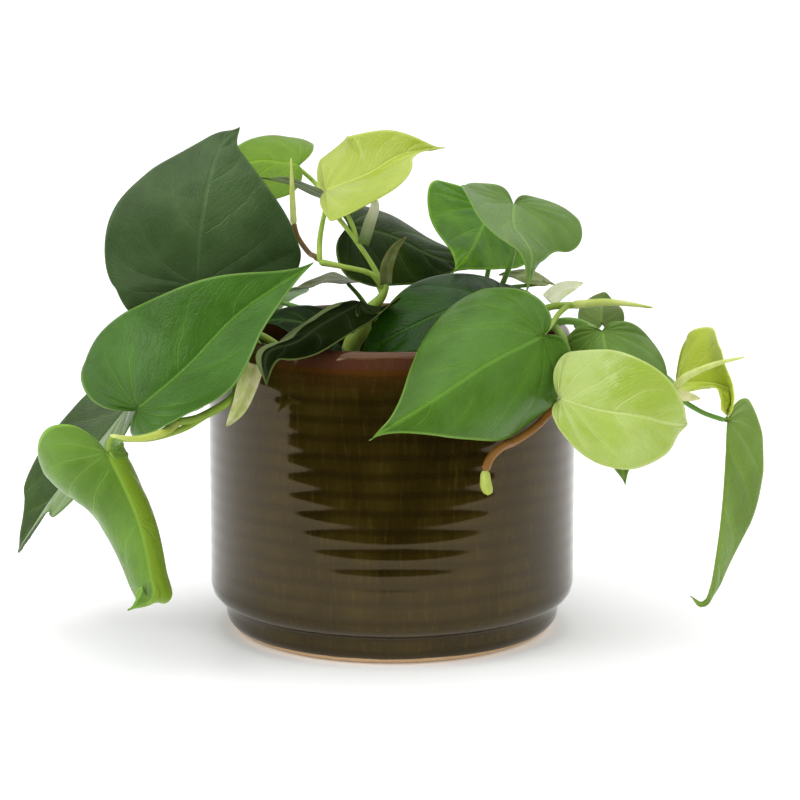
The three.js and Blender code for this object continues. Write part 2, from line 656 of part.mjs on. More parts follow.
// Thrown pot: flat foot, bevelled bottom, ridged wall, lip that slopes out, open inside
function potGeometry() {
  const inner = POT_RADIUS - WALL;
  const foot = [
    [0, 0], [FOOT_RADIUS, 0], [62, 2], [64, 5], [64.3, 10.4], [65.2, 11.2], [67.5, 12.6], [69.3, 15],
    [POT_RADIUS, 18],
  ];
  const count = Math.round((RIDGES_TO - RIDGES_FROM) / RIDGE_PITCH);
  const pitch = (RIDGES_TO - RIDGES_FROM) / count;
  const ridges = Array.from({ length: count }, (_, k) => [
    [POT_RADIUS - RIDGE_DEPTH, RIDGES_FROM + (k + 0.25) * pitch],
    [POT_RADIUS, RIDGES_FROM + (k + 0.75) * pitch],
  ]).flat();
  const lip = [
    [69.8, 107], [69.1, 110], [68.2, 113], [67, 115], [65.8, POT_HEIGHT], [64.2, 115.6], [63.2, 114],
    [inner, 111],
  ];
  const inside = [
    [inner, 12], [inner - 3, FLOOR_THICKNESS + 1], [inner - 6, FLOOR_THICKNESS], [0, FLOOR_THICKNESS],
  ];
  return turned([...foot, ...ridges, ...lip, ...inside]);
}

// Potting soil: fills the pot, with an uneven top and a plain hole for each stem
function soilGeometry() {
  const radius = POT_RADIUS - WALL - CLEARANCE;
  const floor = FLOOR_THICKNESS + CLEARANCE;
  const top = [radius, 0.8 * radius, 0.6 * radius, 0.4 * radius, 0.2 * radius];
  const geometry = turned([
    [0, floor], [radius - 6, floor], [radius - 3, floor + 1.2], [radius, 12.5],
    ...top.map((r) => [r, SOIL_TOP]), [0, SOIL_TOP],
  ]);
  const position = geometry.attributes.position;
  for (let i = 0; i < position.count; i++) {
    const [x, y, z] = [position.getX(i), position.getY(i), position.getZ(i)];
    if (z > SOIL_TOP - 1) {
      const bump = Math.sin(0.21 * x + 1.3) * Math.cos(0.17 * y) + 0.6 * Math.sin(0.34 * y + 0.2 * x);
      position.setZ(i, z + SOIL_BUMP * bump);
    }
  }
  return Object.values(SHOOTS)
    .filter((shoot) => shoot.soil)
    .map((shoot) => toSolid(limbGeometry(shoot.limbs[0], CLEARANCE, CLEARANCE)))
    .reduce((soil, hole) => soil.subtract(hole), toSolid(geometry));
}

function part(name, geometry, color, roughness = 0.45) {
  geometry.computeVertexNormals();
  const mesh = new THREE.Mesh(geometry, new THREE.MeshStandardMaterial({ color, roughness, metalness: 0 }));
  mesh.name = name;
  return mesh;
}

const plant = new THREE.Group();
plant.add(part("pot", potGeometry(), COLORS.glaze, 0.12));
plant.add(part("soil", toGeometry(soilGeometry()), COLORS.soil, 0.95));
for (const [name, shoot] of Object.entries(SHOOTS)) plant.add(part(name, shootGeometry(shoot), shoot.color));
for (const [name, form] of Object.entries(LEAVES)) {
  plant.add(part(name, bladeGeometry(form), form.color, 0.4));
}
for (const [name, form] of Object.entries(SHEATHS)) {
  const whole = { ...SHEATH_FORM, ...form };
  plant.add(part(name, bladeGeometry(whole), whole.color, 0.5));
}

export default plant;
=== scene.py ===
import math

import bmesh
import bpy
import numpy as np
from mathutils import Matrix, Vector


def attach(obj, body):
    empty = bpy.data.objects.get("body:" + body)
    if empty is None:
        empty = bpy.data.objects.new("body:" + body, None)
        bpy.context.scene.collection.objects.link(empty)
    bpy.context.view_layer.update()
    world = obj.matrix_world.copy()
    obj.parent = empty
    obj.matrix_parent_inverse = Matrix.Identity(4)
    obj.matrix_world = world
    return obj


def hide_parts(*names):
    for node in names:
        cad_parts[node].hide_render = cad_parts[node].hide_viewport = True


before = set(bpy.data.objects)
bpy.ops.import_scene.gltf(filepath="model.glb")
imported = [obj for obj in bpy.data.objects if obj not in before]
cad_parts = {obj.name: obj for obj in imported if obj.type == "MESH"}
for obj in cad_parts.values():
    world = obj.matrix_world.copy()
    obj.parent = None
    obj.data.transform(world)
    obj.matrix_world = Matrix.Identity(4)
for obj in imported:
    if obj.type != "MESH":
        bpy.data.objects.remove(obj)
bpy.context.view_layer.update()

# Potted heartleaf philodendron. The tables are in millimetres, the meshes in metres.
MM = 0.001
BLADE_THICKNESS = 0.5
VEIN_SLANT = 0.7
VEIN_BOW = 0.07
VEINS_PER_HALF = 10
# Rows and columns of one half of a blade, and the length that asks for the fine grid
LARGE_GRID, SMALL_GRID, SHEATH_GRID = (96, 24), (60, 16), (40, 10)
LARGE_LEAF = 36
# A petiole ends a gap away from its blade, which is taken this thick
SEAT_GAP, SEAT_BLADE = 0.35, 0.7
# Length of one step along a stem, and how much of its thickness is left at an end
STEM_STEP, STEM_END = 1.0, 0.6
POT_RADIUS = 70.0
RIDGES_FROM, RIDGES_TO, RIDGE_PITCH = 18.0, 106.0, 6.7
SOIL_RADIUS, SOIL_TOP, SOIL_FOOT, SOIL_BUMP = 62.4, 95.0, 7.4, 1.4

# Half outline of a heart: how far along the midrib and how far out from it, from the notch to the tip
HEART = np.array([
    (0, 0), (-0.1, 0.1), (-0.185, 0.28), (-0.2, 0.52), (-0.12, 0.78), (0.03, 0.96), (0.2, 1),
    (0.4, 0.88), (0.6, 0.63), (0.76, 0.37), (0.88, 0.16), (0.95, 0.055), (1, 0),
])


def pair(value):
    return value if isinstance(value, tuple) else (value, value)


def blade_form(rib, up, half, lobe, fore=1, slim=1, fold=0, fold_tip=None, curl=0):
    """A blade's form. Where a table gives one value, both halves or both ends share it."""
    return dict(
        rib=rib, up=up if isinstance(up[0], tuple) else (up, up), half=pair(half), lobe=pair(lobe), fore=fore,
        slim=slim, fold=pair(fold), fold_tip=pair(fold if fold_tip is None else fold_tip), curl=pair(curl),
    )


def sheath_form(rib, up, half, fold, fore=1.1):
    return blade_form(rib, up, half, 0.01, fore, 0.6, fold, curl=-5)


# Leaf blades: midrib, direction of the upper face at both ends, half widths, and how each half folds
# and arches
LEAVES = {
    "leaf_01_dark_upper_left": blade_form(
        rib=((-72, -20.5, 134), (-71, -21, 152.5), (-68, -13, 172.5), (-63.5, -5, 185), (-57, -1.5, 191.5)),
        up=((0.4, -0.9, 0.05), (0, -0.9, 0.4)), half=(35.5, 38.5), lobe=(0.21, 0.17), fore=0.99, slim=0.94,
        fold=(0, -2), fold_tip=(-33, 8), curl=16),
    "leaf_02_front_left": blade_form(
        rib=((-90.5, -62.5, 95), (-73.5, -55, 109), (-54.5, -49, 128), (-28, -44.5, 145.5)),
        up=((-0.2, -0.7, 0.7), (0, -0.9, 0.45)), half=(39, 37.5), lobe=0.11, fore=0.55, slim=1.11,
        fold=(12, 21), fold_tip=(33, 8), curl=(-38, 30)),
    "leaf_03_rolled_left": blade_form(
        rib=((-99, -84, 83.5), (-92.5, -84, 69), (-88, -82.5, 55.5), (-85, -84.5, 41), (-83.5, -90, 32.5),
             (-92.5, -89.5, 28)), up=((-0.05, -1, 0.1), (-0.2, -0.95, 0.05)), half=(31, 37),
        lobe=(-0.12, 0.24), fore=1.35, slim=1.17, fold=(-57, 17), fold_tip=(-67, -35), curl=(-88, -103)),
    "leaf_04_folded_left": blade_form(
        rib=((-98, -22.5, 89.5), (-112, -20, 72), (-125, -15, 57), (-134.5, -15, 42.5), (-143.5, -9, 29.5)),
        up=((-0.6, -0.7, 0.35), (-0.6, -0.75, 0.25)), half=(38.5, 36), lobe=0.2, fore=1.17, slim=0.86,
        fold=(46, -27), fold_tip=(54, -8), curl=(-17, 0)),
    "leaf_05_behind_dark": blade_form(
        rib=((-36.5, 34.5, 174.5), (-44, 36, 175.3), (-51.5, 36, 176), (-59.5, 35.5, 174),
             (-67, 34.5, 169.5)), up=((-0.4, -0.55, 0.7), (-0.1, -0.85, 0.55)), half=(18.5, 19), lobe=0.1,
        fore=0.98, slim=0.9, fold=(9, 3), fold_tip=(-17, 7), curl=(-8, -41)),
    "leaf_06_dark_edge_on": blade_form(
        rib=((-18, 7, 162.5), (-28, 6.5, 166), (-38.5, 4.5, 170.5), (-49.5, 4, 172)),
        up=((0.1, -0.25, 0.95), (-0.05, -0.35, 0.95)), half=(6.5, 7), lobe=0.2, fore=1.02, slim=0.88,
        fold=(4, -2), fold_tip=6, curl=(4, -23)),
    "leaf_07_lime_top": blade_form(
        rib=((-24.5, -12.5, 168.5), (-8.5, -14, 175), (3.5, -8.5, 181.5), (20, -3.5, 184)),
        up=((-0.25, -0.55, 0.8), (0.25, -0.75, 0.6)), half=(22.5, 23), lobe=0.05, fore=1.08, slim=1.3,
        fold=(0, 20), fold_tip=(19, 61), curl=(-4, -31)),
    "leaf_08_dark_centre": blade_form(
        rib=((-16, 15, 153), (-0.5, 20, 148.5), (14, 22.5, 141), (30, 20.5, 135.5)),
        up=((0.35, -0.7, 0.6), (0.05, -0.75, 0.65)), half=(24, 25), lobe=0.11, fore=1.02, slim=0.82,
        fold=(-7, 6), fold_tip=(-21, 6), curl=(-44, -21)),
    "leaf_09_pot_mouth": blade_form(
        rib=((40, -35, 127.5), (23.5, -35, 127.5), (5.5, -39.5, 120.5), (-11.5, -43.5, 111.5)),
        up=((-0.05, -0.7, 0.75), (-0.15, -0.9, 0.45)), half=(18.5, 23), lobe=0.2, fore=0.99, slim=0.8,
        fold=(6, -18), fold_tip=(6, 3), curl=(1, -18)),
    "leaf_10_big_front": blade_form(
        rib=((53.5, -64.5, 121.5), (34, -79, 114), (13.5, -94, 103), (-7.5, -106, 92)),
        up=((0.35, -0.85, 0.35), (-0.05, -0.8, 0.6)), half=(35, 36), lobe=(0.13, 0.12), fore=0.94,
        slim=1.35, fold=(-17, -10), fold_tip=(-31, -24), curl=(-46, -60)),
    "leaf_11_lime_front_right": blade_form(
        rib=((59, -76, 101), (72.5, -76, 97), (86.5, -76.5, 95), (97.5, -72, 91.5), (105.5, -64, 89.5)),
        up=((0.2, -0.5, 0.85), (0.45, -0.85, 0.15)), half=(23.5, 25), lobe=(0.07, 0.05), fore=1.14,
        slim=0.8, fold=(2, 17), fold_tip=(38, -19), curl=(20, -5)),
    "leaf_12_hanging_behind": blade_form(
        rib=((76, -46.5, 120.5), (79, -56, 104.5), (80.5, -64, 86.5), (83, -71, 69)),
        up=((0.05, -0.8, 0.6), (-0.15, -0.95, 0.3)), half=(25, 22), lobe=0.0825, slim=1.06, fold=(-17, -23),
        fold_tip=(13, -24), curl=(-33, -53)),
    "leaf_13_small_dark": blade_form(
        rib=((79, -10, 118.5), (79.5, -4.5, 122.5), (80, 1.5, 124.5), (81.5, 6.5, 128)),
        up=((0, -0.55, 0.8), (0, -0.6, 0.8)), half=(9, 8.5), lobe=0.42, fore=0.98, slim=0.6, fold=(3, 1),
        fold_tip=(4, -2), curl=(1, -1)),
    "leaf_14_young_folded": blade_form(
        rib=((105.5, -26.5, 98), (114.5, -33, 99.5), (121.5, -46.5, 100), (122, -57, 97.5),
             (121.5, -51.5, 90)), up=((-0.35, -0.65, 0.7), (-0.45, -0.9, 0)), half=(21, 19),
        lobe=(0.02, 0.06), fore=1.05, slim=0.94, fold=(15, 56), fold_tip=(76, 79), curl=(-19, -24)),
    "leaf_15_hanging_right": blade_form(
        rib=((122, -47, 87.5), (120.5, -54.5, 71), (119, -56.5, 49), (117, -52, 26.5), (114.5, -49, 20.5),
             (109.5, -51.5, 23.5)), up=((0.65, -0.75, 0.15), (0.55, -0.8, 0.1)), half=23, lobe=0.14,
        fore=0.95, slim=0.99, fold=(-2, -140), fold_tip=(-9, -140), curl=(-3, -8)),
    "leaf_16_upper_right": blade_form(
        rib=((45.5, -10.5, 163.5), (45, -27.5, 156.5), (50.5, -42.5, 148.5), (49, -45, 134.5)),
        up=((0, -0.45, 0.9), (0.2, -0.95, 0.1)), half=(27.5, 21.5), lobe=0.2, fore=0.7, slim=1.21,
        fold=(-13, 18), fold_tip=(-59, 31), curl=(-4, 8)),
    "leaf_17_bright_behind": blade_form(
        rib=((39, 18.5, 160), (33.5, 4, 151.5), (29, -9.5, 144.5), (22.5, -20, 138.5)),
        up=((0.05, -0.65, 0.75), (0.05, -0.85, 0.55)), half=(24, 26), lobe=0.12, fore=0.9, slim=1.33,
        fold=(-17, -7), fold_tip=(-46, -15), curl=(-17, 43)),
    "leaf_18_sliver": blade_form(
        rib=((57.5, 3, 132.5), (50, 8, 134.5), (41, 13.5, 134)), up=((0.2, 0.05, 0.95), (-0.1, -0.05, 1)),
        half=6, lobe=0.2, fore=1.03, slim=0.91, fold=(-5, 6), fold_tip=(-9, 42), curl=(-23, -8)),
    "leaf_19_over_rim": blade_form(
        rib=((-11.5, -23.5, 128), (-25, -44, 123), (-33.5, -63.5, 119.5), (-43.5, -72.5, 116.5),
             (-43.5, -81, 105.5)), up=((0, -0.35, 0.95), (-0.05, -0.55, 0.85)), half=(21.5, 16),
        lobe=(-0.16, 0.04), slim=1.02, fold=-9, fold_tip=(-21, -14), curl=(67, -32)),
    "leaf_20_back_edge_on": blade_form(
        rib=((-17, 32.5, 129.5), (-24.5, 33, 130), (-31.5, 34.5, 127.5), (-39.5, 35.5, 126)),
        up=((0.05, 0.05, 1), (-0.1, -0.15, 1)), half=9.5, lobe=0.2, fore=0.99, slim=1.1, fold=(1, 2),
        fold_tip=(-2, 21), curl=(-8, 0)),
    "leaf_21_in_mouth": blade_form(
        rib=((-22, -8, 112), (-32, -10, 118), (-42, -12, 120), (-50, -14, 119)),
        up=((0.2, -0.6, 0.75), (0, -0.6, 0.8)), half=11, lobe=0.15, fold=8, curl=-10),
    "leaf_22_back_right": blade_form(
        rib=((30, 68, 121), (36, 82, 115), (41, 92, 98), (43, 94, 76)),
        up=((0.25, 0.6, 0.75), (0.3, 0.95, 0.1)), half=23, lobe=0.18, fold=8, curl=-30),
    "leaf_23_back_left": blade_form(
        rib=((-50, 50, 121), (-60, 62, 116), (-70, 72, 100), (-76, 76, 80)),
        up=((-0.45, 0.45, 0.75), (-0.6, 0.75, 0.1)), half=21, lobe=0.18, fold=8, curl=-30),
}

# Papery sheaths at the nodes, given like the leaves
SHEATHS = {
    "sheath_centre": sheath_form(
        rib=((-2.5, -10.8, 133.5), (-2, -13, 140), (1, -14.6, 147), (5.5, -15, 151.5)), up=(0.2, -0.9, 0.3),
        half=2.6, fold=25),
    "sheath_top_flap": sheath_form(
        rib=((-10.8, -2.6, 147.5), (-8.5, -0.5, 155), (-6.5, 1, 161), (-7, 0, 166)), up=(0, -0.9, 0.4),
        half=2.3, fore=1.6, fold=5),
    "sheath_left_rim": sheath_form(
        rib=((-49, -60, 110.5), (-51, -63.9, 104), (-54, -63.9, 96), (-59, -62, 88.5)),
        up=(-0.1, -0.95, 0.2), half=4, fold=20),
    "sheath_right_back": sheath_form(
        rib=((58, -26.2, 129), (63, -22.5, 132.5), (71, -20, 135)), up=(-0.2, -0.9, 0.4), half=3.4, fold=15),
    "sheath_right_node": sheath_form(
        rib=((101.5, -53.5, 98.5), (106, -55, 98), (111, -55.5, 97.5)), up=(0, -0.8, 0.6), half=2.4, fold=20),
}

# Stems, petioles and shoot tips: each limb's path and thickness, and the leaf that it ends under
SHOOTS = {
    "stem_main": [
        dict(path=((-20, -4, 86), (-16, -6, 107), (-12, -6, 115), (-9, -7, 122), (-4, -8, 128),
                   (-2, -8, 133)), radius=(3.4, 3.4, 3.6, 2.7, 1.7, 1.3)),
        dict(path=((-3, -8, 131), (-8, -9.5, 137), (-18, -12.5, 140), (-27, -14, 142)),
             radius=(1.2, 1.1, 1, 1.3)),
        dict(path=((-3, -8, 131), (-7, -4, 139), (-14, 0, 149), (-21, 8, 157), (-27, 24, 162),
                   (-30, 36, 167)), radius=(1.1, 1, 0.9, 0.9, 0.9, 0.9, 0.8), end="leaf_05_behind_dark"),
        dict(path=((-13, -0.5, 147.5), (-15, 3, 154)), radius=(0.9, 0.9, 0.8), end="leaf_06_dark_edge_on"),
        dict(path=((-27, -14, 142), (-27, -12.5, 149), (-26, -10.5, 156)), radius=(1.1, 1, 0.9, 0.8),
             end="leaf_07_lime_top"),
        dict(path=((-3, -8, 128), (-4, 3, 128), (-8, 14, 136), (-13, 22, 147)),
             radius=(1, 0.9, 0.9, 0.9, 0.8), end="leaf_08_dark_centre"),
    ],
    "shoot_tip_stem": [
        dict(path=((-27.2, -13.4, 142.4), (-28.8, -12.6, 144), (-31, -8, 144.6), (-34, -5, 148),
                   (-36, -4, 151.5), (-37, -4, 156)), radius=(1,)),
    ],
    "shoot_tip_top": [
        dict(path=((-37, -4, 155.2), (-37.4, -3.6, 165), (-37.8, -3, 180)), radius=(1.3, 1.1, 0.35)),
    ],
    "stem_left": [
        dict(path=((-30, -28, 86), (-36, -28, 104), (-45, -32, 115), (-55, -39, 118.6), (-58, -48, 110),
                   (-56, -60, 100), (-67, -69, 93.5), (-76, -76, 92.5)),
             radius=(1.9, 1.9, 1.6, 1.6, 1.7, 1.6, 1.5, 1.4)),
        dict(path=((-65, -67, 94), (-73, -73, 90), (-84, -76, 87), (-93, -78, 87), (-98, -79.5, 87.5)),
             radius=(1.2, 1.2, 1.1, 1), end="leaf_03_rolled_left"),
    ],
    "shoot_tip_left": [
        dict(path=((-75.6, -76, 92.4), (-78.8, -92.5, 92), (-87, -98, 91), (-96, -99, 92.3)),
             radius=(1.7, 1.5, 1, 0.6)),
    ],
    "petioles_left": [
        dict(path=((-40, -18, 86), (-44, -24, 108), (-55, -29, 120.5), (-68, -38, 113), (-80, -45, 102)),
             radius=(1.3, 1.3, 1.2, 1.1, 1), end="leaf_02_front_left"),
        dict(path=((-44, -24, 106), (-52, -16, 116), (-62, -8, 124), (-69, -12, 131)),
             radius=(1.2, 1.2, 1.1, 1), end="leaf_01_dark_upper_left"),
        dict(path=((-61, -33, 117.6), (-74, -36, 104), (-86, -42, 98)), radius=(1,),
             end="leaf_04_folded_left"),
    ],
    "stem_right": [
        dict(path=((36, -14, 86), (42, -18, 106), (50, -25, 122), (58, -29, 127), (68, -30, 128)),
             radius=(1.7, 1.6, 1.5, 1.3)),
        dict(path=((65, -30, 128), (61, -36, 125.5), (57, -46, 122)), radius=(1.1, 1, 0.9),
             end="leaf_10_big_front"),
        dict(path=((42, -18, 104), (42, -28, 112), (42, -36, 118)), radius=(1.1, 1, 0.9),
             end="leaf_09_pot_mouth"),
    ],
    "shoot_tip_right": [
        dict(path=((66.4, -30, 128), (78, -30, 129), (86, -30, 128.5), (96, -30, 127)),
             radius=(1.6, 1.4, 1, 0.35)),
    ],
    "stem_far_right": [
        dict(path=((46, -4, 86), (50, -12, 104), (57, -21, 118), (68, -24, 121), (80, -26, 115),
                   (93, -34, 107), (101.5, -42, 101.5), (102, -50, 99.5)),
             radius=(1.6, 1.6, 1.5, 1.4, 1.4, 1.3, 1.3, 1.4)),
        dict(path=((72, -24, 120), (75, -31, 119)), radius=(1, 0.9, 0.8), end="leaf_12_hanging_behind"),
        dict(path=((68, -24, 120), (73, -14, 114)), radius=(1, 0.9, 0.8), end="leaf_13_small_dark"),
        dict(path=((102, -49, 100), (105, -48.5, 96), (113, -47.5, 91), (121.2, -47, 88)),
             radius=(1.2, 1, 0.9)),
        dict(path=((88, -32, 109), (94, -27, 103), (99, -23.5, 99.5)), radius=(1, 1, 0.9),
             end="leaf_14_young_folded"),
    ],
    "shoot_tip_far_right": [
        dict(path=((101.8, -50.2, 99.9), (106, -55, 105.5), (116, -58, 110.5), (126, -58, 113)),
             radius=(1.5, 1.4, 1, 0.35)),
    ],
    "stem_front_cut": [
        dict(path=((44, -26, 86), (47, -28, 108), (51, -31, 118), (58, -37, 121), (62, -44, 118),
                   (63, -45, 110), (62, -46, 102), (59.5, -49.5, 94.5), (56, -51.5, 90.5), (51, -56, 86.5),
                   (44, -61.5, 83), (39, -69, 82.3), (35, -74, 79.5), (33, -76, 75.2)),
             radius=(1.7, 1.7, 1.6, 1.6, 1.6, 1.6, 1.5, 1.5, 1.5, 1.5, 1.5, 1.5, 1.5, 1.6)),
        dict(path=((59.5, -49.5, 94.5), (60.5, -58, 94.5), (60, -68, 97)), radius=(1.2, 1.1, 1, 0.9),
             end="leaf_11_lime_front_right"),
    ],
    "cut_end": [
        dict(path=((33, -76, 75.4), (33.4, -76, 70), (34.8, -76, 67)), radius=(1.6, 2.2, 1.7)),
    ],
    "petioles_back_right": [
        dict(path=((26, 8, 86), (34, 6, 110), (40, -4, 128), (45, -14, 144), (46, -12, 156)),
             radius=(1.3, 1.2, 1.1, 1, 0.9), end="leaf_16_upper_right"),
        dict(path=((34, 6, 110), (36, 18, 128), (40, 27, 148)), radius=(1.1, 1, 0.9),
             end="leaf_17_bright_behind"),
        dict(path=((37, 1, 120), (38, 8, 128)), radius=(0.9, 0.8, 0.7), end="leaf_18_sliver"),
    ],
    "petioles_back": [
        dict(path=((4, 26, 86), (3, 29, 98), (-4, 30, 110), (-12, 31, 122)), radius=(1.3, 1.2, 1, 0.9, 0.8),
             end="leaf_20_back_edge_on"),
        dict(path=((3, 29, 98), (10, 44, 111), (20, 57, 117.8)), radius=(1.1, 1.1, 1, 0.9),
             end="leaf_22_back_right"),
        dict(path=((-4, 30, 109), (-22, 37, 113), (-40, 43, 118)), radius=(1, 1, 1, 0.9),
             end="leaf_23_back_left"),
    ],
    "petiole_mouth": [
        dict(path=((-14, 6, 86), (-16, 2, 100)), radius=(1.1, 1, 0.9), end="leaf_21_in_mouth"),
    ],
    "petiole_over_rim": [
        dict(path=((14, -12, 86), (14, -13, 108), (8, -16, 120), (0, -20, 123.5)),
             radius=(1.3, 1.2, 1.1, 1.1, 0.9), end="leaf_19_over_rim"),
    ],
}

# Colours of each leaf: upper face, its patches, under face, veins and margin, then how strongly the veins
# and the margin show
LEAF_COLOURS = {
    "leaf_01_dark_upper_left": ("354c25", "445c33", "526f31", "5b7646", "5b7646", 0.22, 0.2),
    "leaf_02_front_left": ("345a11", "3f6a1b", "4b771f", "669631", "7fa64d", 0.32, 0.5),
    "leaf_03_rolled_left": ("4f731c", "648a2e", "6a9230", "8ab544", "8fbb4a", 0.3, 0.6),
    "leaf_04_folded_left": ("213a04", "334f0d", "354f09", "5d7924", "4b6820", 0.35, 0.4),
    "leaf_05_behind_dark": ("5b7f03", "668a19", "709711", "8bb52a", "8eba2a", 0.35, 0.3),
    "leaf_06_dark_edge_on": ("364610", "485b24", "485b1f", "687f37", "6a8238", 0.3, 0.3),
    "leaf_07_lime_top": ("96a920", "a8b944", "aabd2e", "c7d55b", "cad865", 0.4, 0.4),
    "leaf_08_dark_centre": ("1e2f0c", "344913", "435e20", "557430", "7a974a", 0.3, 0.6),
    "leaf_09_pot_mouth": ("0d2902", "204702", "264809", "396510", "426e16", 0.35, 0.3),
    "leaf_10_big_front": ("3a6007", "4a731f", "558218", "70a130", "86ae49", 0.32, 0.5),
    "leaf_11_lime_front_right": ("99b23d", "acc06b", "aec35c", "ccd989", "ccd989", 0.36, 0.4),
    "leaf_12_hanging_behind": ("506f24", "648535", "688b35", "87b04b", "8ab54d", 0.36, 0.3),
    "leaf_13_small_dark": ("304902", "50671e", "456009", "708c2f", "739031", 0.4, 0.3),
    "leaf_14_young_folded": ("a4b72b", "bbcb46", "b6c740", "d9e575", "d9e575", 0.35, 0.4),
    "leaf_15_hanging_right": ("5b7820", "6a8930", "739530", "8fb445", "93b946", 0.36, 0.4),
    "leaf_16_upper_right": ("506e27", "5d7d36", "658636", "80a74c", "83aa4e", 0.36, 0.4),
    "leaf_17_bright_behind": ("376702", "65990f", "65a009", "86c11f", "90c92c", 0.35, 0.5),
    "leaf_18_sliver": ("758340", "899654", "91a056", "b1c072", "b1c072", 0.3, 0.3),
    # Leaf 19's near-black colours are its dark green with painted shade for the shadow it hangs in
    "leaf_19_over_rim": ("0b1204", "141d08", "212a12", "36422a", "5a6734", 0.35, 0.7),
    "leaf_20_back_edge_on": ("444e1d", "697241", "5b672e", "8f9a5a", "939e5d", 0.3, 0.3),
    "leaf_21_in_mouth": ("18260f", "2a421a", "3a5230", "486a34", "45643a", 0.5, 0.3),
    "leaf_22_back_right": ("3b6a1d", "4c7f2a", "79a858", "8fbd6a", "94bb6c", 0.45, 0.6),
    "leaf_23_back_left": ("3b6a1d", "4c7f2a", "79a858", "8fbd6a", "94bb6c", 0.45, 0.6),
}
# Leaves with another tone on one half: its colour, how much of it, which half, and from how far out
HALF_TONES = {
    "leaf_03_rolled_left": ("8aa82e", 0.7, -1.0, 0.0),
    "leaf_04_folded_left": ("6a8a40", 0.9, -1.0, 0.0),
    "leaf_13_small_dark": ("7a9448", 0.45, -1.0, 0.0),
    # Leaf 19's grey-green far half is a painted sheen: gloss seen at a grazing angle
    "leaf_19_over_rim": ("66734a", 0.9, 1.0, 0.5),
}
NO_HALF_TONE = ("808080", 0.0, 1.0, 0.0)
# Leaves with a flatter surface than the rest
SMOOTH_LEAVES = {5: 0.35, 7: 0.5, 11: 0.7, 13: 0.5, 14: 0.6}
# Young leaves with more shine and shaded ones with less
LEAF_SHINE = {
    7: dict(Specular_IOR_Level=0.4, Coat_Weight=0.35, Coat_Roughness=0.12),
    8: dict(Specular_IOR_Level=0.1),
    11: dict(Specular_IOR_Level=0.35, Coat_Weight=0.3, Coat_Roughness=0.15),
    14: dict(Specular_IOR_Level=0.4),
    19: dict(Specular_IOR_Level=0.0),
    21: dict(Specular_IOR_Level=0.1),
}
# Leaves beside the pot that would show as dark bars in its glaze
UNMIRRORED_LEAVES = (3, 4, 15)
LEAF_SLOTS = {
    "leaf_lime": (7, 11, 14),
    "leaf_fresh_green": (3, 5, 15, 17),
    "leaf_mid_green": (2, 9, 10, 16, 22, 23),
}


# Curves and blades

def catmull(points, share, repeat_ends=False):
    """Points and directions of a smooth curve through the points, at shares from 0 to 1."""
    points = np.asarray(points, float)
    first, last = points[0], points[-1]
    if not repeat_ends:
        first, last = 2 * points[0] - points[1], 2 * points[-1] - points[-2]
    padded = np.vstack([first, points, last])
    place = np.clip(np.asarray(share, float), 0, 1) * (len(points) - 1)
    span = np.minimum(place.astype(int), len(points) - 2)
    t = (place - span)[:, None]
    a, b, c, d = (padded[span + k] for k in range(4))
    m0, m1 = 0.5 * (c - a), 0.5 * (d - b)
    cubic, square = 2 * b - 2 * c + m0 + m1, -3 * b + 3 * c - 2 * m0 - m1
    return cubic * t**3 + square * t**2 + m0 * t + b, 3 * cubic * t**2 + 2 * square * t + m0


def run_of(line):
    """Distance from the first point of a line to each of its points."""
    return np.concatenate([[0], np.cumsum(np.linalg.norm(np.diff(line, axis=0), axis=1))])


def unit(v):
    return v / np.maximum(np.linalg.norm(v, axis=-1, keepdims=True), 1e-12)


def smooth(low, high, x):
    t = np.clip((x - low) / (high - low), 0, 1)
    return t * t * (3 - 2 * t)


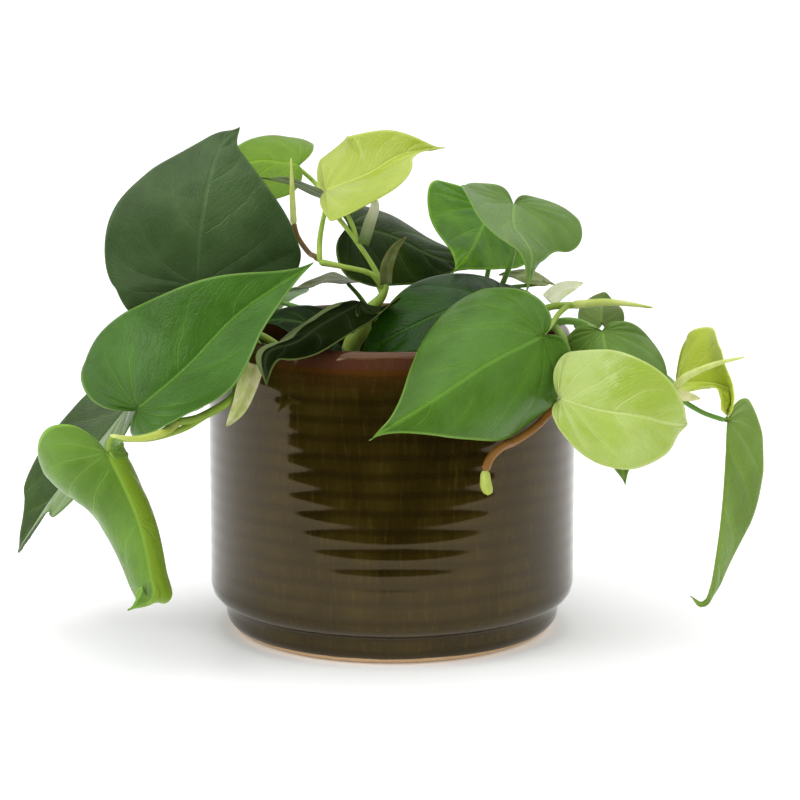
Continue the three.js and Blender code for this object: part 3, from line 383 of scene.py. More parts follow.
class Blade:
    """A heart shaped blade, folded and arched about its midrib. Side -1 is its first half, 1 the other."""

    def __init__(self, form):
        self.form = form
        self.shares = np.linspace(0, 1, 401)
        self.run = run_of(catmull(form["rib"], self.shares)[0])
        self.length = self.run[-1]
        self.slant = VEIN_SLANT * (form["half"][0] + form["half"][1]) / 2 / self.length

    def frame(self, along):
        inside = np.clip(along, 0, 1)
        share = np.interp(inside * self.length, self.run, self.shares)
        point, tangent = catmull(self.form["rib"], share)
        tangent = unit(tangent)
        point = point + tangent * ((along - inside) * self.length)[:, None]
        low, high = (np.array(u, float) for u in self.form["up"])
        up = low + (high - low) * inside[:, None]
        right = unit(np.cross(tangent, up))
        return point, tangent, right, np.cross(right, tangent)

    def at(self, along, across, side):
        which = 0 if side < 0 else 1
        inside = np.clip(along, 0, 1)
        fold, fold_tip = self.form["fold"][which], self.form["fold_tip"][which]
        fold = np.radians(fold + (fold_tip - fold) * inside)
        curl = math.radians(self.form["curl"][which]) or 1e-3
        radius = self.form["half"][which] / curl
        out = radius * (np.sin(fold + curl * across) - np.sin(fold))
        rise = radius * (np.cos(fold) - np.cos(fold + curl * across))
        point, _, right, normal = self.frame(along)
        return point + right * (side * out)[:, None] + normal * rise[:, None]

    def outline(self, share, side):
        """Outline of one half, from the notch to the tip, and the foot of each vein on the midrib."""
        p, _ = catmull(HEART, share, repeat_ends=True)
        across = np.maximum(0, p[:, 1]) ** self.form["slim"]
        lobe = self.form["lobe"][0 if side < 0 else 1]
        ahead = p[:, 0] + (self.form["fore"] - 1) * p[:, 0] * (1 - p[:, 0])
        along = np.where(p[:, 0] < 0, p[:, 0] * lobe / 0.2, ahead)
        foot = np.where(p[:, 0] < 0, 0, np.maximum(0, along - self.slant * across))
        return along, across, foot

    def half_grid(self, side, rows, columns):
        """One half from midrib to margin: its points, and the measures that its veins and margin need."""
        half = self.form["half"][0 if side < 0 else 1]
        share, reach = np.linspace(0, 1, rows + 1), np.linspace(0, 1, columns + 1)
        along, across, foot = self.outline(share, side)
        span = np.stack([self.at(foot + (along - foot) * r, across * r, side) for r in reach], axis=1)
        step = np.linalg.norm(np.diff(span, axis=0), axis=2)
        row_mm = np.zeros((rows + 1, columns + 1))
        row_mm[:-1] += step / 2
        row_mm[1:] += step / 2
        row_mm[[0, -1]] *= 2
        to_edge = np.zeros_like(row_mm)
        gaps = np.linalg.norm(np.diff(span, axis=1), axis=2)
        to_edge[:, :-1] = np.cumsum(gaps[:, ::-1], axis=1)[:, ::-1]
        slope = np.abs(np.gradient(along * self.length)) + 1e-6
        lean = np.hypot(slope, np.gradient(across * half)) + 1e-6
        share_at, reach_at = np.meshgrid(share, reach, indexing="ij")
        return foot, span, dict(
            vein_row=(share_at - VEIN_BOW * reach_at**2) * VEINS_PER_HALF,
            row_mm=row_mm * rows / VEINS_PER_HALF,
            rib_mm=across[:, None] * reach_at * half,
            edge_mm=to_edge * np.clip(slope / lean, 0.45, 1)[:, None],
            reach=reach_at, share=share_at, side=np.full_like(row_mm, side),
        )


def placed(name, data):
    """A new object in the scene for a mesh, a lamp or a camera."""
    made = bpy.data.objects.new(name, data)
    bpy.context.scene.collection.objects.link(made)
    return made


def mesh_object(name, points, edges=(), faces=(), **columns):
    """A mesh in metres from points in millimetres, with one float attribute for each column."""
    mesh = bpy.data.meshes.new(name)
    mesh.from_pydata([tuple(p) for p in np.asarray(points) * MM], edges, faces)
    for key, values in columns.items():
        layer = mesh.attributes.new(key, "FLOAT", "POINT")
        layer.data.foreach_set("value", np.asarray(values, np.float32))
    mesh.validate()
    mesh.update()
    return placed(name, mesh)


def face_outwards(made):
    """Turns every face of a closed mesh outwards and shades it smooth."""
    net = bmesh.new()
    net.from_mesh(made.data)
    bmesh.ops.recalc_face_normals(net, faces=net.faces)
    for face in net.faces:
        face.smooth = True
    net.to_mesh(made.data)
    net.free()
    return made


def point_normals(points, faces):
    normals = np.zeros_like(points)
    for face in faces:
        a, b, c = points[face[0]], points[face[1]], points[face[2]]
        turn = np.cross(b - a, c - a)
        if len(face) == 4:
            turn = turn + np.cross(c - a, points[face[3]] - a)
        for i in face:
            normals[i] += turn
    return unit(normals)


def blade_sheet(blade, rows, columns):
    """Both halves joined along the midrib: points, faces, margin and the measures at each point."""
    points, faces, ids, rims = [], [], {}, []
    keep = {k: [] for k in ("vein_row", "row_mm", "rib_mm", "edge_mm", "reach", "share", "side")}
    for side in (-1, 1):
        foot, span, measures = blade.half_grid(side, rows, columns)
        grid = np.zeros((rows + 1, columns + 1), int)
        for i, j in np.ndindex(rows + 1, columns + 1):
            key = (side, i, j)
            if i == rows:
                key = "tip"
            elif i == 0 or (j == 0 and foot[i] == 0):
                key = "base"
            elif j == 0:
                key = ("rib", i)
            if key not in ids:
                ids[key] = len(points)
                points.append(span[i, j])
                for name, values in keep.items():
                    values.append(measures[name][i, j])
            grid[i, j] = ids[key]
        for i, j in np.ndindex(rows, columns):
            corners = [grid[i, j], grid[i, j + 1], grid[i + 1, j + 1], grid[i + 1, j]]
            ring = list(dict.fromkeys(corners))
            if len(ring) > 2:
                faces.append(ring if side > 0 else ring[::-1])
        rims.append(list(grid[:, columns]))
    margin = rims[1] + rims[0][1:-1][::-1]
    return np.array(points), faces, margin, {k: np.array(v, float) for k, v in keep.items()}


def blade_mesh(name, form, grid, seed, relief=1.0):
    """A blade with creased veins, soft swells between them and a lightly waved margin."""
    blade = Blade(form)
    phase = np.random.default_rng(seed).uniform(0, 2 * math.pi, 6)
    points, faces, margin, keep = blade_sheet(blade, *grid)
    normals = point_normals(points, faces)
    size = min(1.0, blade.length / 45)
    row, reach, share, side = (keep[k] for k in ("vein_row", "reach", "share", "side"))
    row = row - np.floor(row)
    calm = smooth(0, 2.5, keep["edge_mm"])
    vein = np.exp(-((np.abs(row - 0.5) * keep["row_mm"] / (1.1 * size + 0.2)) ** 2))
    vein = vein * smooth(0.02, 0.2, reach)
    rib = np.exp(-((keep["rib_mm"] / (1.3 * size)) ** 2)) * (1 - 0.7 * np.clip(share, 0, 1))
    swell = np.cos(2 * math.pi * row) * smooth(0.1, 0.6, reach) * smooth(0.0, 0.9, 1 - reach)
    wave = (np.sin(2 * math.pi * 2.3 * share + phase[0] + side * phase[1])
            + 0.6 * np.sin(2 * math.pi * 4.7 * share + phase[2] + side * phase[3]))
    wave = wave * smooth(0.35, 1.0, reach) * smooth(0, 0.12, 1 - share)
    height = relief * size * (-0.3 * vein * calm - 0.55 * rib + 0.22 * swell + 0.45 * wave)
    keel = relief * size * (0.5 * rib + 0.16 * vein * calm)
    around = BLADE_THICKNESS / 2 * (1 - 0.5 * smooth(1.2, 0, keep["edge_mm"]))
    upper = points + normals * (height + around)[:, None]
    under = points + normals * (height - around - keel)[:, None]
    count = len(points)
    closed = [list(f) for f in faces] + [[i + count for i in f[::-1]] for f in faces]
    closed += [[b, a, a + count, b + count] for a, b in zip(margin, margin[1:] + margin[:1])]
    columns = {k: np.concatenate([v, v]) for k, v in keep.items()}
    columns["under"] = np.repeat([0.0, 1.0], count)
    return face_outwards(mesh_object(name, np.vstack([upper, under]), faces=closed, **columns))


def seat(name, radius):
    """Where a petiole meets its blade: on the under face, midway between the two halves."""
    form = LEAVES[name]
    point, tangent, right, normal = (v[0] for v in Blade(form).frame(np.array([0.0])))
    left_turn, right_turn = (math.radians(f) for f in form["fold"])
    down = unit(right * (math.sin(right_turn) - math.sin(left_turn))
                - normal * (math.cos(left_turn) + math.cos(right_turn)))
    gap = (SEAT_BLADE / 2 + SEAT_GAP + radius) / math.cos((left_turn + right_turn) / 2)
    return point + down * gap * 0.72 + tangent * radius


# Node trees

class Web:
    """Adds nodes to one tree: each source is a socket, a node or a plain value."""

    def __init__(self, tree):
        self.tree = tree

    def feed(self, socket, source):
        if isinstance(source, bpy.types.Node):
            source = next(s for s in source.outputs if s.enabled)
        if isinstance(source, bpy.types.NodeSocket):
            self.tree.links.new(source, socket)
        elif source is not None:
            socket.default_value = source

    def add(self, kind, *sources, **settings):
        node = self.tree.nodes.new(kind)
        named = settings.pop("named", {})
        for key, value in settings.items():
            setattr(node, key, value)
        for index, source in enumerate(sources):
            self.feed(node.inputs[index], source)
        for key, source in named.items():
            self.feed(node.inputs[key], source)
        return node

    def math(self, operation, *sources, clamp=False):
        return self.add("ShaderNodeMath", *sources, operation=operation, use_clamp=clamp).outputs[0]

    def plus(self, a, b, clamp=False):
        return self.math("ADD", a, b, clamp=clamp)

    def minus(self, a, b):
        return self.math("SUBTRACT", a, b)

    def times(self, a, b, clamp=False):
        return self.math("MULTIPLY", a, b, clamp=clamp)

    def step(self, value, low, high, to_low=0.0, to_high=1.0):
        return self.add("ShaderNodeMapRange", value, low, high, to_low, to_high,
                        interpolation_type="SMOOTHSTEP").outputs[0]

    def off_middle(self, value):
        """How far a value's fraction lies from one half."""
        return self.math("ABSOLUTE", self.minus(self.math("FRACT", value), 0.5))

    def blend(self, factor, a, b, how="MIX"):
        node = self.add("ShaderNodeMix", data_type="RGBA", blend_type=how, clamp_factor=True)
        self.feed(node.inputs[0], factor)
        self.feed(node.inputs[6], a)
        self.feed(node.inputs[7], b)
        return node.outputs[2]

    def shade(self, body, tone):
        """A colour made darker or lighter by a plain factor."""
        return self.blend(1.0, body, self.add("ShaderNodeCombineColor", tone, tone, tone), "MULTIPLY")

    def value(self, name):
        return self.add("ShaderNodeAttribute", attribute_name=name).outputs["Fac"]

    def noise(self, vector, scale, detail=2.0, rough=0.5):
        return self.add("ShaderNodeTexNoise", named={
            "Vector": vector, "Scale": scale, "Detail": detail, "Roughness": rough}).outputs[0]

    def seeded_noise(self, vector, seed, scale):
        return self.add("ShaderNodeTexNoise", noise_dimensions="4D", named={
            "Vector": vector, "W": seed, "Scale": scale, "Detail": 2.0}).outputs[0]

    def stretch(self, vector, scale):
        return self.add("ShaderNodeMapping", named={"Vector": vector, "Scale": scale}).outputs[0]

    def scaled(self, vector, factor):
        return self.add("ShaderNodeVectorMath", vector, operation="SCALE", named={"Scale": factor}).outputs[0]

    def apart(self, vector):
        return self.add("ShaderNodeSeparateXYZ", vector).outputs


def colour(text):
    """A linear colour from a hex one."""
    parts = [int(text[i:i + 2], 16) / 255 for i in (0, 2, 4)]
    return tuple(c / 12.92 if c <= 0.04045 else ((c + 0.055) / 1.055) ** 2.4 for c in parts) + (1.0,)


def finish_material(name, **sockets):
    """A new material with its shader's own sockets set, and the web that its pattern is built in."""
    material = bpy.data.materials.new(name)
    material.use_nodes = True
    shader = material.node_tree.nodes["Principled BSDF"]
    for key, value in sockets.items():
        shader.inputs[key.replace("_", " ")].default_value = value
    web = Web(material.node_tree)
    place = web.add("ShaderNodeTexCoord").outputs["Object"]
    return material, shader, web, place


def coat(web, shader, body, rough, height, distance, strength=1.0):
    """Feeds a shader its colour, roughness and bump."""
    web.feed(shader.inputs["Base Color"], body)
    web.feed(shader.inputs["Roughness"], rough)
    node = web.add("ShaderNodeBump", named={"Strength": strength, "Distance": distance, "Height": height})
    web.feed(shader.inputs["Normal"], node)


def leaf_pattern():
    """Node group for every blade: patches, pale veins, margin and a paler under face."""
    group = bpy.data.node_groups.new("leaf pattern", "ShaderNodeTree")
    for direction, kind, names in (
        ("INPUT", "Color", ("Upper", "Patches", "Under", "Veins", "Margin", "Half colour")),
        ("INPUT", "Float", ("Half strength", "Half side", "Half from", "Vein strength", "Margin strength",
                            "Patch size", "Shift")),
        ("OUTPUT", "Color", ("Colour",)),
        ("OUTPUT", "Float", ("Roughness", "Height")),
    ):
        for name in names:
            group.interface.new_socket(name, in_out=direction, socket_type="NodeSocket" + kind)
    web = Web(group)
    given = web.add("NodeGroupInput").outputs
    place = web.add("ShaderNodeTexCoord").outputs["Object"]
    place = web.add("ShaderNodeVectorMath", place, given["Shift"], operation="ADD").outputs[0]
    under, row, row_mm, reach, rib_mm, edge_mm, side = (
        web.value(k) for k in ("under", "vein_row", "row_mm", "reach", "rib_mm", "edge_mm", "side"))

    # Side veins with a soft halo, the midrib, and a net of fine veins between them
    row = web.plus(row, web.times(web.minus(web.noise(place, 90.0, 2), 0.5), 0.22))
    off_mm = web.times(web.off_middle(row), row_mm)
    shown = web.times(web.step(reach, 0.01, 0.1), web.step(reach, 1.02, 0.35))
    line = web.times(web.step(off_mm, 0.55, 0.1), shown)
    halo = web.times(web.step(off_mm, 4.5, 0.2), shown)
    rib, rib_halo = web.step(rib_mm, 1.0, 0.3), web.step(rib_mm, 5.0, 0.2)
    fine = web.plus(web.times(row, 7.0), web.times(web.noise(place, 220.0, 2), 2.4))
    fine = web.step(web.off_middle(fine), 0.16, 0.02)

    # Colour: patches, the other tone of one half, the under face, grain, veins and margin
    patches = web.step(web.noise(place, given["Patch size"], 3, 0.6), 0.36, 0.66)
    grain = web.noise(place, 1600.0, 2)
    mottle = web.noise(place, 260.0, 3, 0.65)
    body = web.blend(patches, given["Upper"], given["Patches"])
    this_half = web.times(web.times(side, given["Half side"]), given["Half strength"])
    this_half = web.math("MAXIMUM", this_half, 0.0)
    outer = web.step(reach, web.minus(given["Half from"], 0.06), web.plus(given["Half from"], 0.02))
    body = web.blend(web.times(this_half, outer), body, given["Half colour"])
    below = web.blend(web.times(patches, 0.35), given["Under"], given["Patches"])
    body = web.blend(under, body, below)
    body = web.shade(body, web.plus(0.86, web.plus(web.times(mottle, 0.16), web.times(grain, 0.12))))
    show = web.plus(web.times(line, 0.75), web.times(halo, 0.3), clamp=True)
    show = web.math("MAXIMUM", show, web.plus(rib, web.times(rib_halo, 0.3)))
    show = web.plus(show, web.times(fine, 0.1))
    body = web.blend(web.times(show, given["Vein strength"], clamp=True), body, given["Veins"])
    edge = web.times(web.step(edge_mm, 0.95, 0.25), given["Margin strength"])
    body = web.blend(edge, body, given["Margin"])

    height = web.plus(web.times(line, -0.3), web.times(fine, -0.12))
    for part, depth in ((rib, -0.35), (grain, 0.16), (mottle, 0.5)):
        height = web.plus(height, web.times(part, depth))
    rough = web.plus(web.plus(0.2, web.times(mottle, 0.22)), web.times(under, 0.17))
    web.add("NodeGroupOutput", named={"Colour": body, "Roughness": rough, "Height": height})
    return group


def leaf_material(name, pattern, look, shift, half_tone, **shine):
    upper, patches, under, veins, margin, vein_strength, margin_strength = look
    tint, strength, side, start = half_tone
    settings = dict(Subsurface_Weight=0.05, Subsurface_Scale=0.001, Specular_IOR_Level=0.22)
    settings.update(shine)
    material, shader, web, _ = finish_material(name, **settings)
    given = web.add("ShaderNodeGroup", node_tree=pattern, named={
        "Upper": colour(upper), "Patches": colour(patches), "Under": colour(under), "Veins": colour(veins),
        "Margin": colour(margin), "Vein strength": vein_strength, "Margin strength": margin_strength,
        "Patch size": 32.0, "Shift": shift, "Half colour": colour(tint), "Half strength": strength,
        "Half side": side, "Half from": start,
    }).outputs
    coat(web, shader, given["Colour"], given["Roughness"], given["Height"], 0.0006, 0.9)
    return material


def stem_material(name, base, other, low=None, low_level=0.0):
    """Smooth green stem skin with faint lengthwise streaks; low is the colour below a height in metres."""
    material, shader, web, place = finish_material(
        name, Specular_IOR_Level=0.4, Subsurface_Weight=0.1, Subsurface_Scale=0.001)
    streak = web.noise(web.stretch(place, (1.0, 1.0, 0.35)), 420.0, 3, 0.6)
    patch = web.noise(place, 70.0, 2)
    body = web.blend(web.step(patch, 0.35, 0.65), colour(base), colour(other))
    if low:
        height = web.plus(web.apart(place)[2], web.times(web.minus(patch, 0.5), 0.02))
        body = web.blend(web.step(height, low_level + 0.006, low_level - 0.004), body, colour(low))
    body = web.shade(body, web.plus(0.8, web.times(streak, 0.4)))
    coat(web, shader, body, web.plus(0.32, web.times(streak, 0.25)), streak, 0.0003, 0.5)
    return material


def glaze_material():
    """Dark olive brown glaze, brown at the lip where it breaks thin, bare pale clay at the foot."""
    material, shader, web, place = finish_material(
        "olive brown glaze", Specular_IOR_Level=0.45, Specular_Tint=colour("ffe6bf"))
    height = web.apart(place)[2]
    streak = web.noise(web.stretch(place, (1.0, 1.0, 0.12)), 700.0, 3, 0.6)
    cloud = web.noise(web.stretch(place, (1.0, 1.0, 0.5)), 60.0, 3)
    speck = web.noise(place, 2600.0, 2)
    wander = web.times(web.minus(web.noise(place, 55.0, 3), 0.5), 0.0022)
    level = web.plus(height, wander)
    body = web.blend(web.step(cloud, 0.3, 0.7), colour("241c05"), colour("33290a"))
    for low, high, tint in ((0.1, 0.107, "35240a"), (0.1074, 0.1092, "462a0c"), (0.1094, 0.1108, "472a1c")):
        body = web.blend(web.step(level, low, high), body, colour(tint))
    body = web.blend(web.step(streak, 0.5, 0.78, 0.0, 0.16), body, colour("6a5626"))
    # Painted shade: the glaze is darkened in the throwing grooves between the ridges, below the lip
    turns = web.times(web.minus(level, RIDGES_FROM * MM), 2 * math.pi / (RIDGE_PITCH * MM))
    groove_shade = web.times(web.step(web.math("COSINE", turns), -0.4, 1.0), web.step(level, 0.108, 0.1))
    body = web.blend(web.times(groove_shade, 0.55), body, colour("1c1504"))
    body = web.shade(body, web.plus(0.75, web.times(speck, 0.5)))
    bare = web.step(web.plus(height, web.times(wander, 0.5)), 0.0028, 0.0022)
    body = web.blend(bare, body, web.blend(speck, colour("c4a077"), colour("dcc09a")))
    rough = web.math("MAXIMUM", web.plus(0.05, web.times(cloud, 0.06)), web.times(bare, 0.8))
    swirl = web.plus(web.times(cloud, 0.8), web.times(streak, 0.12))
    coat(web, shader, body, rough, swirl, 0.0008, 0.16)
    return material


def soil_material():
    material, shader, web, place = finish_material("potting soil", Specular_IOR_Level=0.25)
    cells = web.add("ShaderNodeTexVoronoi", named={"Vector": place, "Scale": 420.0}).outputs[0]
    damp = web.noise(place, 60.0, 3)
    body = web.blend(web.step(damp, 0.35, 0.65), colour("1d140d"), colour("3a291c"))
    body = web.blend(web.step(cells, 0.1, 0.6, 0.0, 0.35), body, colour("5a4532"))
    coat(web, shader, body, web.plus(0.75, web.times(damp, 0.2)), cells, 0.0012, 0.8)
    return material


def sheath_material(name, base, other, foot=None):
    """Thin papery sheath with fine lengthwise lines; foot is the colour of its lower part."""
    material, shader, web, place = finish_material(
        name, Specular_IOR_Level=0.35, Subsurface_Weight=0.25, Subsurface_Scale=0.002)
    share = web.value("share")
    lines = web.math("SINE", web.times(web.value("reach"), 34.0))
    patch = web.noise(place, 160.0, 3)
    body = web.blend(web.step(patch, 0.35, 0.65), colour(base), colour(other))
    body = web.blend(web.times(web.step(lines, 0.2, 1.0), 0.3), body, colour(other))
    body = web.blend(web.step(share, 0.9, 1.0, 0.0, 0.5), body, colour("b39a5c"))
    if foot:
        body = web.blend(web.step(share, 0.72, 0.4), body, colour(foot))
    coat(web, shader, body, web.plus(0.4, web.times(patch, 0.2)), lines, 0.0002, 0.4)
    return material


# Geometry Nodes

def new_geometry_tree(name, numbers):
    """A tree with a geometry, a named input for each number and a material, and the web to build it in."""
    tree = bpy.data.node_groups.new(name, "GeometryNodeTree")
    tree.interface.new_socket("Geometry", in_out="INPUT", socket_type="NodeSocketGeometry")
    for key, value in numbers.items():
        kind = "NodeSocketInt" if isinstance(value, int) else "NodeSocketFloat"
        tree.interface.new_socket(key, in_out="INPUT", socket_type=kind).default_value = value
    tree.interface.new_socket("Material", in_out="INPUT", socket_type="NodeSocketMaterial")
    tree.interface.new_socket("Geometry", in_out="OUTPUT", socket_type="NodeSocketGeometry")
    web = Web(tree)
    return tree, web, web.add("NodeGroupInput").outputs


def close_tree(web, geometry, material):
    soft = web.add("GeometryNodeSetShadeSmooth", geometry)
    real = web.add("GeometryNodeRealizeInstances", soft)
    web.add("NodeGroupOutput", web.add("GeometryNodeSetMaterial", real, named={"Material": material}))


def grown(name, source, tree, material):
    """The plain mesh that a node tree makes from a source object."""
    modifier = source.modifiers.new(tree.name, "NODES")
    modifier.node_group = tree
    for item in tree.interface.items_tree:
        if item.in_out == "INPUT" and item.socket_type != "NodeSocketGeometry":
            modifier[item.identifier] = material if item.name == "Material" else item.default_value
    bpy.context.view_layer.update()
    graph = bpy.context.evaluated_depsgraph_get()
    mesh = bpy.data.meshes.new_from_object(source.evaluated_get(graph))
    mesh.name = name
    bpy.data.objects.remove(source)
    return placed(name, mesh)


def limb_tree():
    """Round stem along a line: the line's own thickness, with a lightly uneven skin."""
    tree, web, given = new_geometry_tree("round stem", {"Sides": 14, "Unevenness": 0.00012, "Seed": 3.0})
    line = web.add("GeometryNodeMeshToCurve", given["Geometry"])
    thick = web.add("GeometryNodeInputNamedAttribute", "thick", data_type="FLOAT").outputs[0]
    ring = web.add("GeometryNodeCurvePrimitiveCircle", named={"Resolution": given["Sides"], "Radius": 1.0})
    tube = web.add("GeometryNodeCurveToMesh", named={
        "Curve": line, "Profile Curve": ring, "Scale": thick, "Fill Caps": True})
    rough = web.seeded_noise(web.add("GeometryNodeInputPosition"), given["Seed"], 260.0)
    push = web.times(web.minus(rough, 0.5), given["Unevenness"])
    offset = web.scaled(web.add("GeometryNodeInputNormal"), push)
    close_tree(web, web.add("GeometryNodeSetPosition", tube, named={"Offset": offset}), given["Material"])
    return tree


def pot_tree():
    """Turned pot: a profile swept round the axis, with throwing ridges that wander a little in height."""
    tree, web, given = new_geometry_tree("thrown pot", {
        "Segments": 288, "Sweep radius": POT_RADIUS * MM, "Ridge pitch": RIDGE_PITCH * MM,
        "Ridge depth": 0.00008, "From": RIDGES_FROM * MM, "To": RIDGES_TO * MM, "Fade": 0.004,
        "Wall": 0.0035, "Wander": 0.0011, "Seed": 7.0})
    line = web.add("GeometryNodeMeshToCurve", given["Geometry"])
    ring = web.add("GeometryNodeCurvePrimitiveCircle",
                   named={"Resolution": given["Segments"], "Radius": given["Sweep radius"]})
    body = web.add("GeometryNodeCurveToMesh", named={"Curve": ring, "Profile Curve": line})
    where = web.add("GeometryNodeInputPosition").outputs[0]
    x, y, z = web.apart(where)
    flat = web.add("ShaderNodeCombineXYZ", x, y, 0.0).outputs[0]
    from_axis = web.add("ShaderNodeVectorMath", flat, operation="LENGTH").outputs["Value"]
    wander = web.minus(web.seeded_noise(where, given["Seed"], 26.0), 0.5)
    level = web.plus(z, web.times(wander, given["Wander"]))
    turns = web.math("DIVIDE", web.minus(level, given["From"]), given["Ridge pitch"])
    crest = web.plus(web.math("COSINE", web.times(turns, 2 * math.pi)), 1.0)
    dip = web.times(crest, web.times(given["Ridge depth"], -0.5))
    band = web.times(web.step(z, given["From"], web.plus(given["From"], given["Fade"])),
                     web.step(z, given["To"], web.minus(given["To"], given["Fade"])))
    outer = web.math("GREATER_THAN", from_axis, web.minus(given["Sweep radius"], given["Wall"]))
    outwards = web.add("ShaderNodeVectorMath", flat, operation="NORMALIZE").outputs[0]
    offset = web.scaled(outwards, web.times(dip, web.times(band, outer)))
    body = web.add("GeometryNodeSetPosition", body, named={"Offset": offset})
    body = web.add("GeometryNodeMergeByDistance", body, named={"Distance": 0.00002})
    close_tree(web, body, given["Material"])
    return tree


def crumb_tree():
    """Soil with crumbs scattered over its top."""
    tree, web, given = new_geometry_tree("soil crumbs", {
        "Density": 130000.0, "Smallest": 0.0005, "Largest": 0.0019, "Level": 0.09, "Seed": 11})

    def drawn(low, high, kind="FLOAT_VECTOR"):
        return web.add("FunctionNodeRandomValue", data_type=kind,
                       named={"Min": low, "Max": high, "Seed": given["Seed"]})

    facing_up = web.math("GREATER_THAN", web.apart(web.add("GeometryNodeInputNormal"))[2], 0.6)
    z = web.apart(web.add("GeometryNodeInputPosition"))[2]
    chosen = web.times(facing_up, web.math("GREATER_THAN", z, given["Level"]))
    spots = web.add("GeometryNodeDistributePointsOnFaces", given["Geometry"],
                    named={"Selection": chosen, "Density": given["Density"], "Seed": given["Seed"]})
    crumb = web.add("GeometryNodeMeshIcoSphere", named={"Radius": 1.0, "Subdivisions": 1})
    size = drawn(given["Smallest"], given["Largest"], "FLOAT").outputs[1]
    squash = drawn((0.5, 0.5, 0.35), (1.3, 1.1, 0.9)).outputs[0]
    turn = drawn((0.0, 0.0, 0.0), (0.8, 0.8, 6.28)).outputs[0]
    crumbs = web.add("GeometryNodeInstanceOnPoints", named={
        "Points": spots, "Instance": crumb, "Rotation": turn, "Scale": web.scaled(squash, size)})
    both = web.add("GeometryNodeJoinGeometry")
    for part in (crumbs, given["Geometry"]):
        web.feed(both.inputs[0], part)
    close_tree(web, both, given["Material"])
    return tree


def keep_piece(piece, slot, *nodes):
    """A finished piece rides on the plant and stands for its plain solids."""
    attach(piece, "root")
    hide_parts(*nodes)


# Pot, soil and stems

def make_pot():
    """Each profile point is a distance from the axis and a height: foot, wall, lip, then down the inside."""
    profile = [
        (0, 0), (20, 0), (40, 0), (54, 0), (58.5, 0), (60.3, 0.8), (62, 2), (63.2, 3.4), (64, 5), (64.3, 7.5),
        (64.3, 10.2), (65.2, 11.2), (67.5, 12.6), (69.3, 15), (70, 18),
    ]
    profile += [(POT_RADIUS, z) for z in np.arange(18.6, 106.1, 0.62)]
    profile += [
        (70, 106.5), (69.6, 108.2), (69.1, 110), (68.2, 113), (67.2, 114.9), (66.2, 115.8), (65.3, 116),
        (64.3, 115.7), (63.5, 114.8), (63.0, 113.2), (62.8, 111),
    ]
    profile += [(62.8, z) for z in np.linspace(105, 14, 14)]
    profile += [(62.4, 11), (60.5, 8.4), (57, 7.1), (52, 7), (26, 7), (0, 7)]
    line = mesh_object("pot profile", [(r - POT_RADIUS, -z, 0) for r, z in profile],
                       edges=[(i, i + 1) for i in range(len(profile) - 1)])
    pot = grown("pot_body", line, pot_tree(), glaze_material())
    keep_piece(face_outwards(pot), "glazed_stoneware", "pot")


def soil_level(x, y):
    waves = math.sin(0.21 * x + 1.3) * math.cos(0.17 * y) + 0.6 * math.sin(0.34 * y + 0.2 * x)
    return SOIL_TOP + (SOIL_BUMP * waves - 0.6)


def make_soil():
    """Rings of points out from the middle of the bumpy top, then down the inside of the pot."""
    rings, spokes = 44, 120
    levels = [(SOIL_RADIUS * k / rings, None) for k in range(1, rings + 1)]
    levels += [(SOIL_RADIUS, 60), (SOIL_RADIUS, 12.6), (59.5, 8.6), (56.5, SOIL_FOOT)]
    points, faces = [(0, 0, soil_level(0, 0))], []
    for radius, z in levels:
        for s in range(spokes):
            angle = 2 * math.pi * s / spokes
            x, y = radius * math.cos(angle), radius * math.sin(angle)
            points.append((x, y, soil_level(x, y) if z is None else z))
    last = len(points)
    points.append((0, 0, SOIL_FOOT))
    for s in range(spokes):
        t = (s + 1) % spokes
        faces.append((0, 1 + s, 1 + t))
        for k in range(len(levels) - 1):
            a, b = 1 + k * spokes, 1 + (k + 1) * spokes
            faces.append((a + s, b + s, b + t, a + t))
        faces.append((b + t, b + s, last))
    soil = face_outwards(mesh_object("soil base", points, faces=faces))
    keep_piece(grown("potting_soil", soil, crumb_tree(), soil_material()), "potting_soil", "soil")


def make_shoot(name, limbs, tree, material, slot):
    """One piece for a shoot: each limb is a smooth line with its own thickness."""
    points, edges, thick = [], [], []
    for limb in limbs:
        path, radius = list(limb["path"]), list(limb["radius"])
        if "end" in limb:
            path.append(tuple(seat(limb["end"], radius[-1])))
        spans = len(path) - 1
        run = run_of(catmull(path, np.linspace(0, 1, 60 * spans))[0])
        count = max(4, int(run[-1] / STEM_STEP))
        share = np.interp(np.linspace(0, run[-1], count), run, np.linspace(0, 1, len(run)))
        radius += [radius[-1]] * (len(path) - len(radius))
        sizes = np.interp(share * spans, range(len(path)), radius)
        sizes[[0, -1]] *= STEM_END
        start = len(points)
        points += list(catmull(path, share)[0])
        thick += list(sizes * MM)
        edges += [(start + k, start + k + 1) for k in range(count - 1)]
    line = mesh_object(name + " line", points, edges=edges, thick=thick)
    keep_piece(face_outwards(grown(name + "_limb", line, tree, material)), slot, name)


# Building the plant

